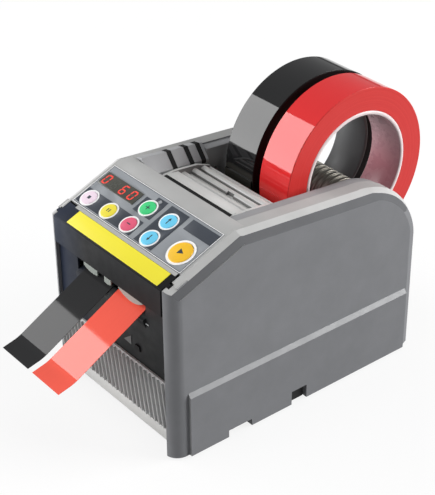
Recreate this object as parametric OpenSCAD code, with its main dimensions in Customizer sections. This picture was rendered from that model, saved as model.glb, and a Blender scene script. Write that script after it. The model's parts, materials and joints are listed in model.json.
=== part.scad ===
// Electric tape dispenser: counter machine that feeds and cuts two rolls of tape.
// Units are millimetres, +Z is up, -Y is the tape outlet, the origin is on the counter under the middle.

/* [Body] */
// width across the lower side pads
body_w = 125; // [118:1:140]
// length from the front face to the rear face
body_l = 192; // [186:1:210]
// rim height at the front edge
rim_front_h = 116; // [114:0.5:120]
// rim height at the bend behind the panel
rim_bend_h = 136; // [133:0.5:142]
// distance of the bend behind the front face
bend_back = 50; // [48:0.5:56]
// fall of the rim towards the rear, in degrees
rim_fall = 5; // [3:0.5:6]
// radius of the rear shoulder
arc_r = 50; // [44:1:54]
// radius of the front upright corners
corner_r = 9; // [7:0.5:11]
// how far the lower pads stand out
side_step = 2; // [1:0.5:3]
// height of the lower pads
pad_h = 43; // [36:1:50]
// wall of the side covers
cover_wall = 3; // [2.5:0.5:4]
// height of the feet under the covers
foot_h = 1.5; // [1:0.5:3]

/* [Roll well] */
// clear width between the well walls
well_w = 78; // [74:1:84]
// wall of the well liner
liner_wall = 2; // [1.5:0.5:3]
// height of the well floor
well_floor = 48; // [42:1:50]
// depth of the front panel opening behind the bend
strip_len = 8; // [6:0.5:10]

/* [Rolls] */
// inner radius of the cores
core_r = 38; // [36:0.5:40]
// wall of the cores
core_wall = 2.6; // [2:0.1:4]
// outer radius of the rolls
roll_r = 55.6; // [50:0.1:58]
// width of one tape
tape_w = 25; // [20:0.5:26]
// free space between the two rolls
roll_gap = 8; // [6:0.5:10]
// distance of the roll centres in front of the rear face
roll_in = 25.3; // [23:0.1:28]
// centre height of the rolls
roll_z = 120.3; // [118:0.1:124]
// thickness of the tape film
film_t = 0.3; // [0.2:0.05:0.5]

/* [Feed] */
// distance of the feed roller behind the front face
feed_back = 32.5; // [31:0.5:34]
// depth of the feed roller below the front rim edge
feed_drop = 22.8; // [21:0.1:25]
// radius over the rubber rings
feed_r = 9; // [8:0.1:9.5]
// radius of the pinch roller
pinch_r = 6; // [5:0.1:6.5]
// radius of the guide roller in front of the rolls
guide_r = 8; // [7:0.1:9]
// slope of the tape at the outlet, in degrees
out_a = 29; // [26:0.5:31]
// teeth of the feed gear
gear_n = 32; // [32:1:32]
// teeth of the motor pinion
pinion_n = 16; // [16:1:16]
// running clearance of shafts, per side
run_c = 0.08; // [0.05:0.01:0.1]
// gap between a moving face and its neighbour
face_c = 0.3; // [0.3:0.05:0.5]

/* [Cutter] */
// stroke of the moving blade
stroke = 8; // [7:0.5:8]
// depth of the crank axis below the feed roller
crank_drop = 45.2; // [43:0.1:48]

/* [Panel] */
// distance of the overlay behind the front edge, along the slope
ov_s = 14.3; // [14:0.1:16]
// length of the overlay along the slope
ov_len = 34; // [33:0.5:35]
// overlay half width
ov_hw = 52; // [51:0.5:52]
// spacing of the key columns
key_pitch = 19.8; // [19:0.1:20.5]
// radius of the small keys
key_r = 5.4; // [5:0.1:5.6]
// radius of the start key
start_r = 7.9; // [7:0.1:8.4]
// travel of the keys
key_travel = 0.7; // [0.5:0.1:0.8]

/* [Hidden] */
$fn = 96;
hw = body_w / 2;
up = hw - side_step;
// the tape ends reach further out in front than the rolls do behind
mid_y = 12.42;
fy = mid_y - body_l / 2;
ry = mid_y + body_l / 2;
roll_y = ry - roll_in;
by = fy + bend_back;
sa = atan2(rim_bend_h - rim_front_h, bend_back);
ta = rim_fall;
cy = ry - arc_r;
yt = cy + arc_r * sin(ta);
cz = rim_bend_h - tan(ta) * (yt - by) - arc_r * cos(ta);
// the shoulder stands a little proud so that it crosses the straight edges
arc_e = 0.12;
// rim facets: width of the light band, its drop, width of the dark band, its drop
lb_w = 4;
lb_d = 2.3;
db_w = 2;
db_d = 7.5;
// sideways step between the light bands of the front slope, the roof and the shoulder
rim_j = 0.4;
rim_x = up - db_w - lb_w * 1.1;
rim_z = lb_d * 0.1;
front_hw = up - 7.5;
roof_in = up - 14.5;
well_hw = well_w / 2;
frame_t = 2;
frame_o = well_hw + frame_t;
base_z = foot_h + 2.5;
base_t = 3;
floor_z = base_z + base_t;
in_x = up - cover_wall;
open_y = by + strip_len;
rear_top = well_floor + 14;
lip_z = floor_z + 5.3;
rib_z = lip_z + 8.1;
plate_z = rib_z + 32.1;
rib_a = 10;
liner_in = 0.8;
rail_s = strip_len + 1;
rail_l = 46;
rail_d = 8.6;
// tape path; a flatter panel takes the feed down with it
panel_rise = 20;
feed_y = fy + feed_back;
feed_z = min(rim_front_h, rim_bend_h - panel_rise) - feed_drop;
crank_z = feed_z - crank_drop;
// heights of the outlet: its sill, the apron over it, and the ends of the black plate
sill_z = feed_z - 13.2;
apron_z = feed_z + 5.6;
wing_z = apron_z + 1.2;
film_g = 0.12;
mid = film_g + film_t / 2;
out_y = feed_y - (feed_r + mid) * sin(out_a);
out_z = feed_z + (feed_r + mid) * cos(out_a);
roll_hold = 0.25;
guide_y = roll_y - roll_r - roll_hold - film_t / 2 - guide_r - mid;
guide_z = feed_z + feed_r + mid + guide_r + mid;
pinch_d = feed_r + 2 * mid + pinch_r;
pinch_y = feed_y - pinch_d * sin(out_a / 2);
pinch_z = feed_z + pinch_d * cos(out_a / 2);
x_in = roll_gap / 2;
x_out = x_in + tape_w;
frame_y0 = fy + 4.5;
frame_y1 = guide_y + 7.6;
frame_top = guide_z + 5.4;
frame_step = frame_top - 13.4;
wall_y = frame_y1 + 2;
// cutter stations behind the front face
car_y = fy + 6.8;
car_t = 2;
mb_y = car_y + car_t;
mb_t = 1.4;
fb_y = mb_y + mb_t + 0.1;
fb_t = 1.4;
car_top = sill_z;
car_low = car_top - 18;
slot_z = crank_z - stroke / 2;
pin_r = 1.5;
mount_y = mb_y + 5.7;
mount_t = 2;
// gears
mod = 1;
gear_c = mod * (gear_n + pinion_n) / 2 + 0.3;
pin_a = -45;
pin_y = feed_y + gear_c * cos(pin_a);
pin_z = feed_z + gear_c * sin(pin_a);
gear_x = -well_hw - 10;
gear_w = 5;
// rollers under and in the rolls
sup_r = 6;
sup_d = roll_r + sup_r + face_c;
sup_f = 26;
sup_b = 13;
hub_y = roll_y - 11.7;
hub_z = roll_z - 12.8;
hub_r = 13;
axle_r = 2.5;
// keys
deck_t = 2.5;
ov_t = 0.4;
row_f = ov_s + 7.1;
row_b = ov_s + 22;
col0 = -4;
start_u = 40.8;
start_s = ov_s + 10.4;
ring_w = 0.62;
board_n = -7;
tact_h = 2.2;
// power switch and inlet
sw_x = 25.5;
sw_y = ry - 5.5;
sw_z = well_floor - 10;
// covers
lid_s = 10.4;
lid_n = -2.6;
lid_pin = 1.5;
lid_hw = front_hw - 0.6;
fc_y = open_y + 3;
fc_n = 10.6;
fc_hw = 31;
fc_z = rim_bend_h - fc_n - 1.4;
// length of the feed cover in fortieths, up to the rolls
fc_k = (roll_y - roll_r - 10.1 - fc_y) / 40;

// height of the tape middle at the outlet side
function line_z(y) = out_z + tan(out_a) * (y - out_y);
// height of the sloped front and of the top of the rim, moved in by d
function slope_z(y, d) = rim_front_h - d / cos(sa) + tan(sa) * (y - fy);
function top_z(y, d) = rim_bend_h - d / cos(ta) - tan(ta) * (y - by);
function bend_y(d) = by + (d / cos(sa) - d / cos(ta)) / (tan(sa) + tan(ta));

// flat shape in Y and Z drawn between two X positions
module yz(x0, x1) {
  translate([x0, 0, 0]) rotate([90, 0, 90]) linear_extrude(height = x1 - x0) children();
}

module xcyl(r, x0, x1, y, z) {
  translate([x0, y, z]) rotate([0, 90, 0]) cylinder(h = x1 - x0, r = r);
}

module ycyl(r, y0, y1, x, z) {
  translate([x, y0, z]) rotate([-90, 0, 0]) cylinder(h = y1 - y0, r = r);
}

module box(x0, x1, y0, y1, z0, z1) {
  translate([x0, y0, z0]) cube([x1 - x0, y1 - y0, z1 - z0]);
}

module on_slope() {
  translate([0, fy, rim_front_h]) rotate([sa, 0, 0]) children();
}

module on_top() {
  translate([0, by, rim_bend_h]) rotate([-ta, 0, 0]) children();
}

module both() {
  children();
  mirror([1, 0, 0]) children();
}

// side view of the body moved in by d, down to zb
module side_shape(d, zb) {
  rr = arc_r - d;
  polygon([[fy + d, zb], [fy + d, slope_z(fy + d, d)], [bend_y(d), top_z(bend_y(d), d)],
    [cy + rr * sin(ta), cz + rr * cos(ta)], [cy, cz], [ry - d, cz], [ry - d, zb]]);
  translate([cy, cz]) circle(r = rr + arc_e);
}

// outside of the rim facets along one straight edge, moved by dx so that facets cross cleanly
module rim_cut(y, z, a, len, dx) {
  translate([dx, y, z]) rotate([a, 0, 0]) rotate([90, 0, 0])
    linear_extrude(height = len, center = true)
      polygon([[rim_x, rim_z], [up - db_w, -lb_d], [up, -db_d], [hw + 6, -db_d], [hw + 6, 30], [rim_x, 30]]);
}

module rim_arc_cut() {
  rr = arc_r + arc_e;
  top = [cy + 120 * sin(ta + 0.3), cz + 120 * cos(ta + 0.3)];
  difference() {
    yz(rim_x, hw + 6)
      polygon([[cy, cz + 0.3], [cy + 90, cz + 0.3], [cy + 90, cz + 90], top]);
    translate([rim_x, cy, cz]) rotate([0, 90, 0])
      cylinder(h = up - db_w - rim_x, r1 = rr + rim_z, r2 = rr - lb_d);
    translate([up - db_w, cy, cz]) rotate([0, 90, 0]) cylinder(h = db_w, r1 = rr - lb_d, r2 = rr - db_d);
    xcyl(rr - db_d, up, hw + 7, cy, cz);
  }
}

// space outside a rounded upright front corner
module corner_cut(x, y, r) {
  difference() {
    box(x - r, x + 20, y - 20, y + r, -5, rim_bend_h + 20);
    translate([x - r, y + r, -6]) cylinder(h = rim_bend_h + 30, r = r);
  }
}

// raised pad on the lower side
module side_pad() {
  y0 = fy + corner_r + 2;
  translate([0, y0, 0]) rotate([-90, 0, 0]) linear_extrude(height = ry - 9 - y0)
    polygon([[up - 1, -foot_h], [hw, -foot_h], [hw, -pad_h], [up, -pad_h - 2.8], [up - 1, -pad_h - 2.8]]);
}

module cover_solid() {
  difference() {
    union() {
      difference() {
        yz(roof_in, up) side_shape(0, foot_h);
        rim_cut(fy, rim_front_h, sa, 260, -rim_j);
        rim_cut(by, rim_bend_h, -ta, 400, 0);
        rim_cut(ry, cz - 50, -90, 140, 0);
        translate([rim_j, 0, 0]) rim_arc_cut();
        corner_cut(up, fy, corner_r);
        difference() {
          yz(0, in_x) side_shape(cover_wall, -5);
          corner_cut(in_x, fy + cover_wall, corner_r - cover_wall);
        }
      }
      side_pad();
      on_slope() box(front_hw - 0.5, in_x + 0.5, lid_s - 4, lid_s + 4, -8, -1.5);
    }
    box(0, front_hw, fy - 1, open_y, 0, rim_bend_h + 5);
    on_slope() {
      xcyl(lid_pin + run_c, front_hw - 1, front_hw + 2.2, lid_s, lid_n);
      box(front_hw - 1, front_hw + 1.9, 3.4, 7.6, -2.4, 2);
    }
    // notches along the bottom edge
    box(in_x - 1, hw + 1, by - 11, by + 6.6, -1, foot_h + 4.8);
    box(in_x - 1, hw + 1, by + 38, by + 50, -1, foot_h + 9.5);
  }
}

module right_cover() color([0.5, 0.5, 0.51]) cover_solid();

module left_cover() color([0.5, 0.5, 0.51]) mirror([1, 0, 0]) cover_solid();

module base_plate() color([0.45, 0.46, 0.48]) {
  box(-in_x, in_x, fy + corner_r + 1, ry - cover_wall, base_z, floor_z);
  both() box(in_x - 4, in_x - 0.2, by + 40, by + 48, base_z, foot_h + 9);
}

module feet() color([0.12, 0.12, 0.12]) both() for (y = [by - 3.5, ry - 30]) {
  translate([in_x - 6.5, y, 0]) cylinder(h = base_z, r = 6);
}

module case_screws() color([0.7, 0.7, 0.7]) both() for (y = [fy + 24, ry - 14]) difference() {
  translate([well_hw, y, base_z - 1.6]) cylinder(h = 1.6, r = 3.2);
  translate([well_hw - 2.2, y - 0.4, base_z - 1.7]) cube([4.4, 0.8, 0.9]);
  translate([well_hw - 0.4, y - 2.2, base_z - 1.7]) cube([0.8, 4.4, 0.9]);
}

module front_lip() color([0.74, 0.74, 0.73])
  box(-front_hw, front_hw, fy + 0.5, frame_y0 - 0.2, lip_z, rib_z);

// panel with leaning ribs
module ribbed_panel() color([0.56, 0.56, 0.55]) {
  ribs = floor(2 * front_hw / 4.08);
  pitch = 2 * front_hw / ribs;
  h = plate_z - 1 - rib_z;
  lean = h * tan(rib_a);
  box(-front_hw, front_hw, fy + 2, fy + 4, rib_z, plate_z);
  translate([0, fy + 2, rib_z]) rotate([90, 0, 0]) linear_extrude(height = 1.2) intersection() {
    translate([-front_hw, 0]) square([2 * front_hw, h]);
    for (i = [0 : ribs + 1]) translate([-front_hw + i * pitch, 0])
      polygon([[0.15 * pitch, 0], [0.85 * pitch, 0], [0.85 * pitch - lean, h], [0.15 * pitch - lean, h]]);
  }
}

// black plate under the outlet, with the lip that carries the tape ends
module lower_plate() color([0.17, 0.17, 0.18]) {
  low = film_t / 2 / cos(out_a) + 0.05;
  ya = fy + 0.5;
  yb = car_y - 0.4;
  yz(-front_hw, front_hw)
    polygon([[fy + 2.5, plate_z], [fy + 2.5, sill_z], [frame_y0 - 0.1, sill_z], [frame_y0 - 0.1, plate_z]]);
  yz(-well_hw + 5.5, well_hw - 5.5)
    polygon([[fy + 2.5, sill_z], [ya, line_z(ya) - low - 1.4], [ya, line_z(ya) - low],
      [yb, line_z(yb) - low], [yb, line_z(yb) - low - 2.4], [frame_y0 - 0.1, sill_z]]);
  both() yz(well_hw - 5.5, front_hw)
    polygon([[fy + 2.5, sill_z - 0.5], [fy + 2.5, wing_z], [frame_y0 - 0.6, wing_z],
      [frame_y0 - 0.6, sill_z - 0.5]]);
}

module panel_deck() color([0.6, 0.61, 0.62]) {
  s0 = ov_s - 0.1;
  a = [fy + s0 * cos(sa), rim_front_h + s0 * sin(sa)];
  difference() {
    union() {
      yz(-front_hw, front_hw)
        polygon([a, [by, rim_bend_h], [open_y, top_z(open_y, 0)], [open_y, top_z(open_y, deck_t)],
          [bend_y(deck_t), top_z(bend_y(deck_t), deck_t)], a + deck_t * [sin(sa), -cos(sa)]]);
      on_slope() for (x = [1.7 - ov_hw, ov_hw - 1.7], s = [ov_s + 2.2, ov_s + 30]) {
        translate([x, s, board_n]) cylinder(h = -board_n - deck_t / 2, r = 1.5);
      }
    }
    on_slope() key_holes(run_c);
  }
}

// small keys: column, row
module small_keys() {
  translate([col0 - 2 * key_pitch, row_f, 0]) children();
  translate([col0 - key_pitch, row_f, 0]) children();
  translate([col0, row_f, 0]) children();
  translate([col0 + key_pitch, row_f, 0]) children();
  translate([col0, row_b, 0]) children();
  translate([col0 + key_pitch, row_b, 0]) children();
}

module key_holes(c) {
  small_keys() translate([0, 0, -10]) cylinder(h = 20, r = key_r + c);
  translate([start_u, start_s, -10]) cylinder(h = 20, r = start_r + c);
}

module panel_overlay() color([0.62, 0.63, 0.65]) on_slope() difference() {
  box(-ov_hw, ov_hw, ov_s, ov_s + ov_len, 0, ov_t);
  key_holes(run_c);
}

module panel_patches() color([0.24, 0.26, 0.3]) on_slope() difference() {
  union() {
    box(-ov_hw + 0.8, col0 + 6.8, ov_s + 1.5, ov_s + 13.2, ov_t, ov_t + 0.2);
    box(col0 - 8.2, col0 + 8, ov_s + 16.4, ov_s + 28, ov_t, ov_t + 0.2);
    box(col0 - 1.1, col0 + 7.8, ov_s + 27, ov_s + 31.6, ov_t, ov_t + 0.2);
    box(col0 + key_pitch - 8.4, col0 + key_pitch + 8, ov_s + 1.5, ov_s + 31.6, ov_t, ov_t + 0.2);
    box(start_u - 13.4, ov_hw - 0.6, ov_s + 23.3, ov_s + 31.6, ov_t, ov_t + 0.2);
  }
  small_keys() cylinder(h = 4, r = key_r + 0.9);
  translate([start_u, start_s, 0]) cylinder(h = 4, r = start_r + 1.3);
}

module key_rings() color([0.95, 0.95, 0.93]) on_slope() {
  small_keys() difference() {
    translate([0, 0, ov_t]) cylinder(h = 0.35, r = key_r + 0.1 + ring_w);
    cylinder(h = 4, r = key_r + 0.1);
  }
  difference() {
    translate([start_u, start_s, ov_t]) cylinder(h = 0.35, r = start_r + 1.05);
    translate([start_u, start_s, 0]) cylinder(h = 4, r = start_r + 0.1);
  }
  translate([col0 + 3.1, ov_s + 29.3, ov_t + 0.2]) cylinder(h = 0.5, r = 1.2);
}

module display_window() color([0.2, 0.06, 0.06]) on_slope()
  box(-ov_hw + 2, -15.2, ov_s + 18.4, ov_s + 28.2, ov_t, ov_t + 0.6);

module control_board() color([0.1, 0.35, 0.2]) on_slope()
  box(-ov_hw, ov_hw, ov_s + 1, ov_s + 32, board_n - 1.6, board_n);

module tact_switches() color([0.15, 0.15, 0.15]) on_slope() {
  small_keys() translate([-3, -3, board_n]) cube([6, 6, tact_h]);
  translate([start_u - 3, start_s - 3, board_n]) cube([6, 6, tact_h]);
}

// key with its stop flange under the deck and a stem that ends above its switch
module key_shape(r) {
  stem = board_n + tact_h + key_travel + 0.15;
  translate([0, 0, -deck_t - 0.4]) cylinder(h = deck_t + 0.4 + ov_t + 0.8, r = r);
  translate([0, 0, -deck_t - 0.9]) cylinder(h = 0.85, r = r + 0.7);
  translate([0, 0, stem]) cylinder(h = -deck_t - 0.65 - stem, r = 1.5);
}

module pink_key() color([0.97, 0.87, 0.93]) on_slope()
  translate([col0 - 2 * key_pitch, row_f, 0]) key_shape(key_r);

module yellow_key() color([0.93, 0.84, 0.2]) on_slope()
  translate([col0 - key_pitch, row_f, 0]) key_shape(key_r);

module red_key() color([0.88, 0.3, 0.42]) on_slope() translate([col0, row_f, 0]) key_shape(key_r);

module blue_key_front() color([0.35, 0.78, 0.94]) on_slope()
  translate([col0 + key_pitch, row_f, 0]) key_shape(key_r);

module green_key() color([0.24, 0.8, 0.48]) on_slope() translate([col0, row_b, 0]) key_shape(key_r);

module blue_key_back() color([0.35, 0.78, 0.94]) on_slope()
  translate([col0 + key_pitch, row_b, 0]) key_shape(key_r);

module start_key() color([0.97, 0.74, 0.15]) on_slope() translate([start_u, start_s, 0]) key_shape(start_r);

// black cover over the outlet, turning on pins in the side covers
module safety_cover() color([0.13, 0.13, 0.14]) {
  apron_t = 1.6;
  on_slope() {
    box(-lid_hw, lid_hw, 0.4, lid_s + 2.1, -1.6, 0.4);
    xcyl(2.2, -lid_hw + 0.4, lid_hw - 0.4, lid_s, lid_n);
    xcyl(lid_pin, -front_hw - 1.8, front_hw + 1.8, lid_s, lid_n);
    box(-front_hw - 1.6, front_hw + 1.6, 3.8, 6.2, -1.6, 0.4);
  }
  yz(-lid_hw + 0.2, lid_hw - 0.2)
    polygon([[fy - 0.5, apron_z], [fy - 0.5, rim_front_h - 0.2], [fy + 0.6, rim_front_h + 0.4],
      [fy - 0.5 + apron_t + 1, rim_front_h - 1], [fy - 0.5 + apron_t, rim_front_h - 4],
      [fy - 0.5 + apron_t, apron_z]]);
}

module yellow_strip() color([0.95, 0.9, 0.22]) on_slope() box(-40, 48, 0.9, 10, 0.4, 0.7);

// steel side frames that carry the feed and the cutter
module frame_shape() {
  difference() {
    polygon([[fy + corner_r + 2, floor_z], [frame_y0, lip_z + 1], [frame_y0, frame_step],
      [feed_y + 5.5, frame_top], [frame_y1, frame_top], [frame_y1, floor_z]]);
    translate([feed_y, feed_z]) circle(r = 5 + 0.05);
    translate([pinch_y, pinch_z]) circle(r = axle_r + run_c);
    translate([guide_y, guide_z]) circle(r = axle_r + run_c);
    translate([pin_y, pin_z]) circle(r = 4);
  }
}

module right_frame() color([0.7, 0.71, 0.72]) yz(well_hw, frame_o) frame_shape();

module left_frame() color([0.7, 0.71, 0.72]) yz(-frame_o, -well_hw) frame_shape();

module bearings() color([0.75, 0.6, 0.3]) both() difference() {
  union() {
    xcyl(5, well_hw - 0.4, frame_o, feed_y, feed_z);
    xcyl(6.2, frame_o, frame_o + 1, feed_y, feed_z);
  }
  xcyl(3 + run_c, well_hw - 1, frame_o + 2, feed_y, feed_z);
}

module feed_roller() color([0.72, 0.73, 0.74]) {
  xcyl(6.5, -well_hw + 6, well_hw - 6, feed_y, feed_z);
  xcyl(3, gear_x - gear_w / 2 - 1, frame_o + 2.4, feed_y, feed_z);
}

module feed_rings() color([0.15, 0.15, 0.16]) {
  n = 10;
  pitch = 2 * (well_hw - 7) / n;
  for (i = [0 : n - 1]) difference() {
    xcyl(feed_r, -well_hw + 7 + (i + 0.15) * pitch, -well_hw + 7 + (i + 0.85) * pitch, feed_y, feed_z);
    xcyl(6.55, -well_hw, well_hw, feed_y, feed_z);
  }
}

// straight-sided teeth with play
module gear_shape(n) {
  rp = mod * n / 2;
  circle(r = rp - 1.15);
  for (i = [0 : n - 1]) rotate(i * 360 / n)
    polygon([[rp - 1.5, -1.1], [rp + 0.8, -0.32], [rp + 0.8, 0.32], [rp - 1.5, 1.1]]);
}

module feed_gear() color([0.9, 0.88, 0.8]) difference() {
  union() {
    yz(gear_x - gear_w / 2, gear_x + gear_w / 2) translate([feed_y, feed_z]) rotate(pin_a) gear_shape(gear_n);
    xcyl(6, gear_x + gear_w / 2, -frame_o - 1.3, feed_y, feed_z);
  }
  xcyl(3.05, gear_x - 10, gear_x + 12, feed_y, feed_z);
}

module motor_pinion() color([0.8, 0.66, 0.3]) {
  yz(gear_x - gear_w / 2 - 0.5, gear_x + gear_w / 2 + 0.5)
    translate([pin_y, pin_z]) rotate(pin_a + 180 + 180 / pinion_n) gear_shape(pinion_n);
  xcyl(2, gear_x, -well_hw + 14, pin_y, pin_z);
}

module feed_motor() color([0.3, 0.31, 0.33]) difference() {
  union() {
    xcyl(13, -well_hw, well_hw - 28, pin_y, pin_z);
    xcyl(5, well_hw - 28, well_hw - 25, pin_y, pin_z);
  }
  xcyl(2 + run_c, -well_hw - 1, -well_hw + 16, pin_y, pin_z);
}

module pinch_roller() color([0.5, 0.52, 0.5]) {
  xcyl(pinch_r, -well_hw + 8, well_hw - 8, pinch_y, pinch_z);
  xcyl(axle_r, -frame_o - 1, frame_o + 1, pinch_y, pinch_z);
}

module guide_roller() color([0.86, 0.83, 0.74]) {
  xcyl(guide_r, -well_hw + 3, well_hw - 3, guide_y, guide_z);
  xcyl(axle_r, -frame_o - 1, frame_o + 1, guide_y, guide_z);
}

// rounded shoe over a tape, from x0 to x1, its lowest point at x
module shoe(x, x0, x1, r, low) {
  intersection() {
    translate([x, low + r]) circle(r = r);
    translate([x0, low - 1]) square([x1 - x0, apron_z - low + 3]);
  }
}

// bar between the frames with the shoes that hold the tapes down
module press_shoes() color([0.6, 0.63, 0.6]) {
  y0 = fy + 4.2;
  y1 = y0 + 1;
  low = line_z(y1) + film_t / 2 / cos(out_a) + 0.25;
  translate([0, y1, 0]) rotate([90, 0, 0]) linear_extrude(height = y1 - y0) {
    translate([-well_hw, apron_z - 2.4]) square([2 * well_hw, 5]);
    shoe((x_in + x_out) / 2, x_in + 1, x_out - 0.6, 22, low);
    shoe(-x_out + 8, -x_out - 1, -x_out + 13, 22, low);
    shoe(-x_in - 2.5, -x_in - 5.2, -x_in + 1.6, 9, low);
  }
}

// flat motor on its cross plate
module cutter_motor() color([0.32, 0.33, 0.35]) difference() {
  union() {
    box(-well_hw, well_hw, mount_y, mount_y + mount_t, crank_z - 16, crank_z + 13);
    ycyl(12, mount_y + mount_t, mount_y + mount_t + 26, 0, crank_z);
  }
  ycyl(2 + run_c, mount_y - 1, mount_y + 12, 0, crank_z);
}

module crank() color([0.66, 0.66, 0.68]) {
  ycyl(7, mb_y + 0.6, mb_y + 4.6, 0, crank_z);
  ycyl(2, mb_y + 4, mount_y + 10, 0, crank_z);
  ycyl(pin_r, car_y - 0.8, mb_y + 1, 0, slot_z);
}

module blade_carriage() color([0.6, 0.62, 0.65]) difference() {
  union() {
    box(-well_hw + 3, well_hw - 3, car_y, mb_y, car_low, car_top);
    box(-13, 13, car_y, mb_y, slot_z - 7, car_low + 1);
  }
  box(-stroke / 2 - pin_r - 0.8, stroke / 2 + pin_r + 0.8, car_y - 1, mb_y + 1,
    slot_z - pin_r - 1.1, slot_z + pin_r + 1.1);
}

module moving_blade() color([0.8, 0.81, 0.83]) {
  z1 = line_z(mb_y) - 3.2;
  yz(-well_hw + 8, well_hw - 8)
    polygon([[mb_y, car_top - 10], [mb_y, z1 - 1.2], [mb_y + mb_t, z1], [mb_y + mb_t, car_top - 10]]);
}

module fixed_blade() color([0.8, 0.81, 0.83]) {
  z0 = line_z(fb_y + fb_t) + film_t + 0.5;
  yz(-well_hw, well_hw)
    polygon([[fb_y, z0], [fb_y, z0 + 9], [fb_y + fb_t, z0 + 9], [fb_y + fb_t, z0 + 0.8]]);
}

module blade_guides() color([0.35, 0.36, 0.38]) both() difference() {
  box(well_hw - 5, well_hw, frame_y0, fb_y - 0.2, car_low - 6, car_top + 8);
  box(well_hw - 6, well_hw - 2.9, car_y - 0.1, mb_y + 0.1, car_low - 12, car_top + 10);
}

// liner of the well: walls, floor and the inner band of the rim
module well_liner() color([0.55, 0.55, 0.56]) difference() {
  union() {
    both() {
      yz(well_hw, well_hw + liner_wall) {
        intersection() {
          side_shape(liner_in, 0);
          translate([open_y, frame_top]) square([300, 100]);
        }
        intersection() {
          side_shape(liner_in, 0);
          translate([wall_y, rear_top]) square([300, 100]);
        }
        translate([wall_y, floor_z]) square([ry - cover_wall - wall_y, rear_top - floor_z]);
      }
      yz(well_hw, roof_in) intersection() {
        difference() {
          side_shape(liner_in, 0);
          side_shape(liner_in + 2, -5);
        }
        translate([open_y, rear_top]) square([300, 100]);
      }
    }
    box(-well_hw, well_hw, wall_y, ry - cover_wall, well_floor - 2, well_floor);
    box(-well_hw, well_hw, wall_y, wall_y + 2, well_floor, feed_z - 3.2);
  }
  xcyl(axle_r + run_c, -60, 60, roll_y - sup_d * sin(sup_f), roll_z - sup_d * cos(sup_f));
  xcyl(axle_r + run_c, -60, 60, roll_y + sup_d * sin(sup_b), roll_z - sup_d * cos(sup_b));
  xcyl(axle_r + run_c, -60, 60, hub_y, hub_z);
  xcyl(1.5 + run_c, -60, 60, fc_y, fc_z);
  on_top() box(-roof_in - 1, -well_hw + 3, rail_s, rail_s + rail_l, -rail_d, 9);
}

// guard rail with three slots on the left rim
module left_rail() color([0.5, 0.5, 0.52]) on_top() difference() {
  translate([0, rail_s + rail_l, 0]) rotate([90, 0, 0]) linear_extrude(height = rail_l)
    polygon([[-roof_in - 4, 0], [-roof_in - 3, 0.9], [-roof_in + 1.5, 1.7], [-well_hw + 2.4, -6.4],
      [-well_hw + 2.4, -rail_d], [-roof_in, -rail_d], [-roof_in, 0]]);
  for (s = [20, 33, 42]) translate([0, rail_s + s, 0]) rotate([90, 0, 0])
    linear_extrude(height = 2.4, center = true)
      polygon([[-roof_in - 6, 0.35], [-roof_in + 0.6, 0.35], [-well_hw + 0.4, -7.2], [-well_hw + 0.4, -20],
        [0, -20], [0, 8], [-roof_in - 6, 8]]);
}

// ridged cover over the feed path, hinged at its front edge
module feed_cover() color([0.66, 0.66, 0.66]) {
  z = fc_z;
  k = fc_k;
  w = [fc_y + 19 * k, fc_y + 27.5 * k, fc_y + 34.6 * k];
  difference() {
    union() {
      xcyl(3, -fc_hw - 2, fc_hw + 2, fc_y, z);
      yz(-fc_hw, fc_hw)
        polygon([[fc_y - 1, z + 1], [fc_y - 1, z + 2.8], [fc_y + 3 * k, z + 4.4], [fc_y + 9 * k, z + 5],
          [fc_y + 15 * k, z + 4.2], [fc_y + 16 * k, z - 0.2], [fc_y + 39 * k, z - 2], [fc_y + 39 * k, z - 4],
          [fc_y + 14 * k, z - 2], [fc_y + 5 * k, z + 1]]);
      for (y = w) xcyl(2.7, -fc_hw, fc_hw, y, z - 0.3 - (y - w[0]) * 0.08);
      xcyl(1.1, -fc_hw, fc_hw, fc_y + 39.6 * k, z - 2.2);
      both() yz(fc_hw, fc_hw + 2)
        polygon([[fc_y, z + 2.9], [fc_y + 6 * k, z + 4.8], [fc_y + 14 * k, z + 5], [fc_y + 30 * k, z + 3.4],
          [fc_y + 40 * k, z - 0.4], [fc_y + 40 * k, z - 5], [fc_y + 12 * k, z - 3.4], [fc_y, z - 2.9]]);
    }
    box(3, 9, fc_y + 24.6 * k, fc_y + 26.2 * k, z - 1.2, z + 8);
  }
  xcyl(1.5, -well_hw - 1.8, well_hw + 1.8, fc_y, z);
}

module support(y, z) {
  xcyl(sup_r, -well_hw + 3, well_hw - 3, y, z);
  xcyl(axle_r, -well_hw - 1.8, well_hw + 1.8, y, z);
}

module front_support() color([0.62, 0.63, 0.64])
  support(roll_y - sup_d * sin(sup_f), roll_z - sup_d * cos(sup_f));

module rear_support() color([0.62, 0.63, 0.64])
  support(roll_y + sup_d * sin(sup_b), roll_z - sup_d * cos(sup_b));

// grooved roller through the cores that keeps the rolls upright
module hub_roller() color([0.5, 0.49, 0.46]) {
  n = 16;
  pitch = 2 * (well_hw - 4) / n;
  xcyl(axle_r, -well_hw - 1.8, well_hw + 1.8, hub_y, hub_z);
  xcyl(hub_r - 1.2, -well_hw + 4, well_hw - 4, hub_y, hub_z);
  for (i = [0 : n - 1]) {
    xcyl(hub_r, -well_hw + 4 + (i + 0.2) * pitch, -well_hw + 4 + (i + 0.75) * pitch, hub_y, hub_z);
  }
}

module core_ring(x0, x1) {
  difference() {
    xcyl(core_r + core_wall, x0, x1, roll_y, roll_z);
    xcyl(core_r, x0 - 1, x1 + 1, roll_y, roll_z);
  }
}

module tape_ring(x0, x1) {
  difference() {
    xcyl(roll_r, x0, x1, roll_y, roll_z);
    xcyl(core_r + core_wall + 0.05, x0 - 1, x1 + 1, roll_y, roll_z);
  }
}

module red_core() color([0.93, 0.8, 0.8]) core_ring(x_in, x_out + 0.2);

module red_tape() color([0.88, 0.2, 0.22]) tape_ring(x_in, x_out);

module black_core() color([0.3, 0.3, 0.3]) core_ring(-x_out, -x_in + 0.2);

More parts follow.
